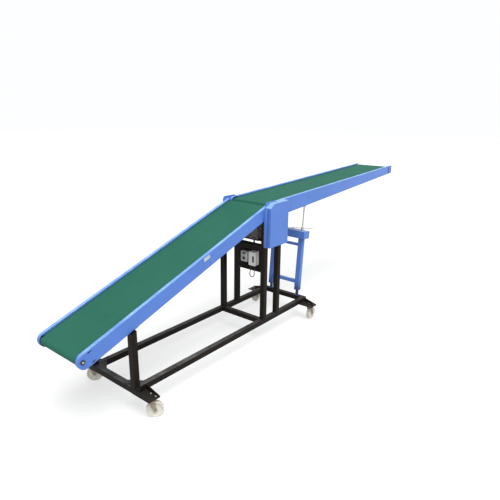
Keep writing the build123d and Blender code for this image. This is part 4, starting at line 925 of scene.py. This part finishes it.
def rounded_loop(bm, place, breadth, height, radius, steps=6):
    # Closed loop of a rounded oblong, in the place's own flat.
    count = steps * 4
    made = bmesh.ops.create_circle(bm, segments=count, radius=radius,
                                   matrix=place @ Matrix.Rotation(math.pi / count, 4, "Z"))
    home = place.inverted()
    for vert in made["verts"]:
        local = home @ vert.co
        local.x += math.copysign(breadth / 2 - radius, local.x)
        local.y += math.copysign(height / 2 - radius, local.y)
        vert.co = place @ local
    return edges_of(made)


bm = bmesh.new()
foot = ON_JACK @ Matrix.Translation((0, -SCREW_Y, SCREW_LOW))
axis = foot.to_3x3().col[2]
ring = [bm.verts.new(foot @ Vector((radius, 0, height))) for radius, height in TOOTH]
sides = [bm.edges.new(pair) for pair in zip(ring, ring[1:] + ring[:1])]
turns = int((SCREW_LENGTH - THREAD_SHORT) / THREAD_PITCH)
swept = bmesh.ops.spin(bm, geom=ring + sides, cent=foot.translation, axis=axis,
                       dvec=axis * (THREAD_PITCH / THREAD_STEPS), angle=math.tau * turns,
                       steps=turns * THREAD_STEPS)
bm.faces.new(ring)
bm.faces.new(points(swept["geom_last"]))
turned(bm, foot, CORE, steps=24)
flat = Matrix.Translation((0, EYE_THICK / 2, 0)) @ Matrix.Rotation(math.radians(90), 4, "X")
block = ON_JACK @ Matrix.Translation((EYE_SHIFT, -SCREW_Y, EYE_AT - EYE_DROP)) @ flat
slot = ON_JACK @ Matrix.Translation((EYE_SHIFT, -SCREW_Y, EYE_AT)) @ flat
loops = rounded_loop(bm, block, *EYE_BLOCK, EYE_ROUND)
loops += rounded_loop(bm, slot, *EYE_SLOT, EYE_SLOT[1] / 2)
eye = bmesh.ops.bridge_loops(bm, edges=loops)["faces"]
thicken(bm, eye, block.to_3x3().col[2] * EYE_THICK)
second = bmesh.ops.duplicate(bm, geom=[*bm.verts, *bm.edges, *bm.faces])["geom"]
bmesh.ops.translate(bm, verts=points(second), vec=(0, 2 * SCREW_Y, 0))
piece("threaded_screws", bm, zinc_bright, "jack_screws", "zinc_steel", "jack_screws")

bm = bmesh.new()
for y in (-SCREW_Y, SCREW_Y):
    seat = ON_JACK @ Matrix.Translation((0, y, NUT_AT))
    turned(bm, seat, WINDING_NUT, steps=36)
    for end in (0, math.pi):
        swing = Matrix.Rotation(BAR_TURN + end, 4, "Z") @ Matrix.Rotation(math.radians(90), 4, "Y")
        turned(bm, seat @ Matrix.Translation((0, 0, BAR_RISE)) @ swing, CROSS_BAR, steps=20)
piece("winding_nuts", bm, zinc_bright, "chassis", "zinc_steel", "jack_nuts")
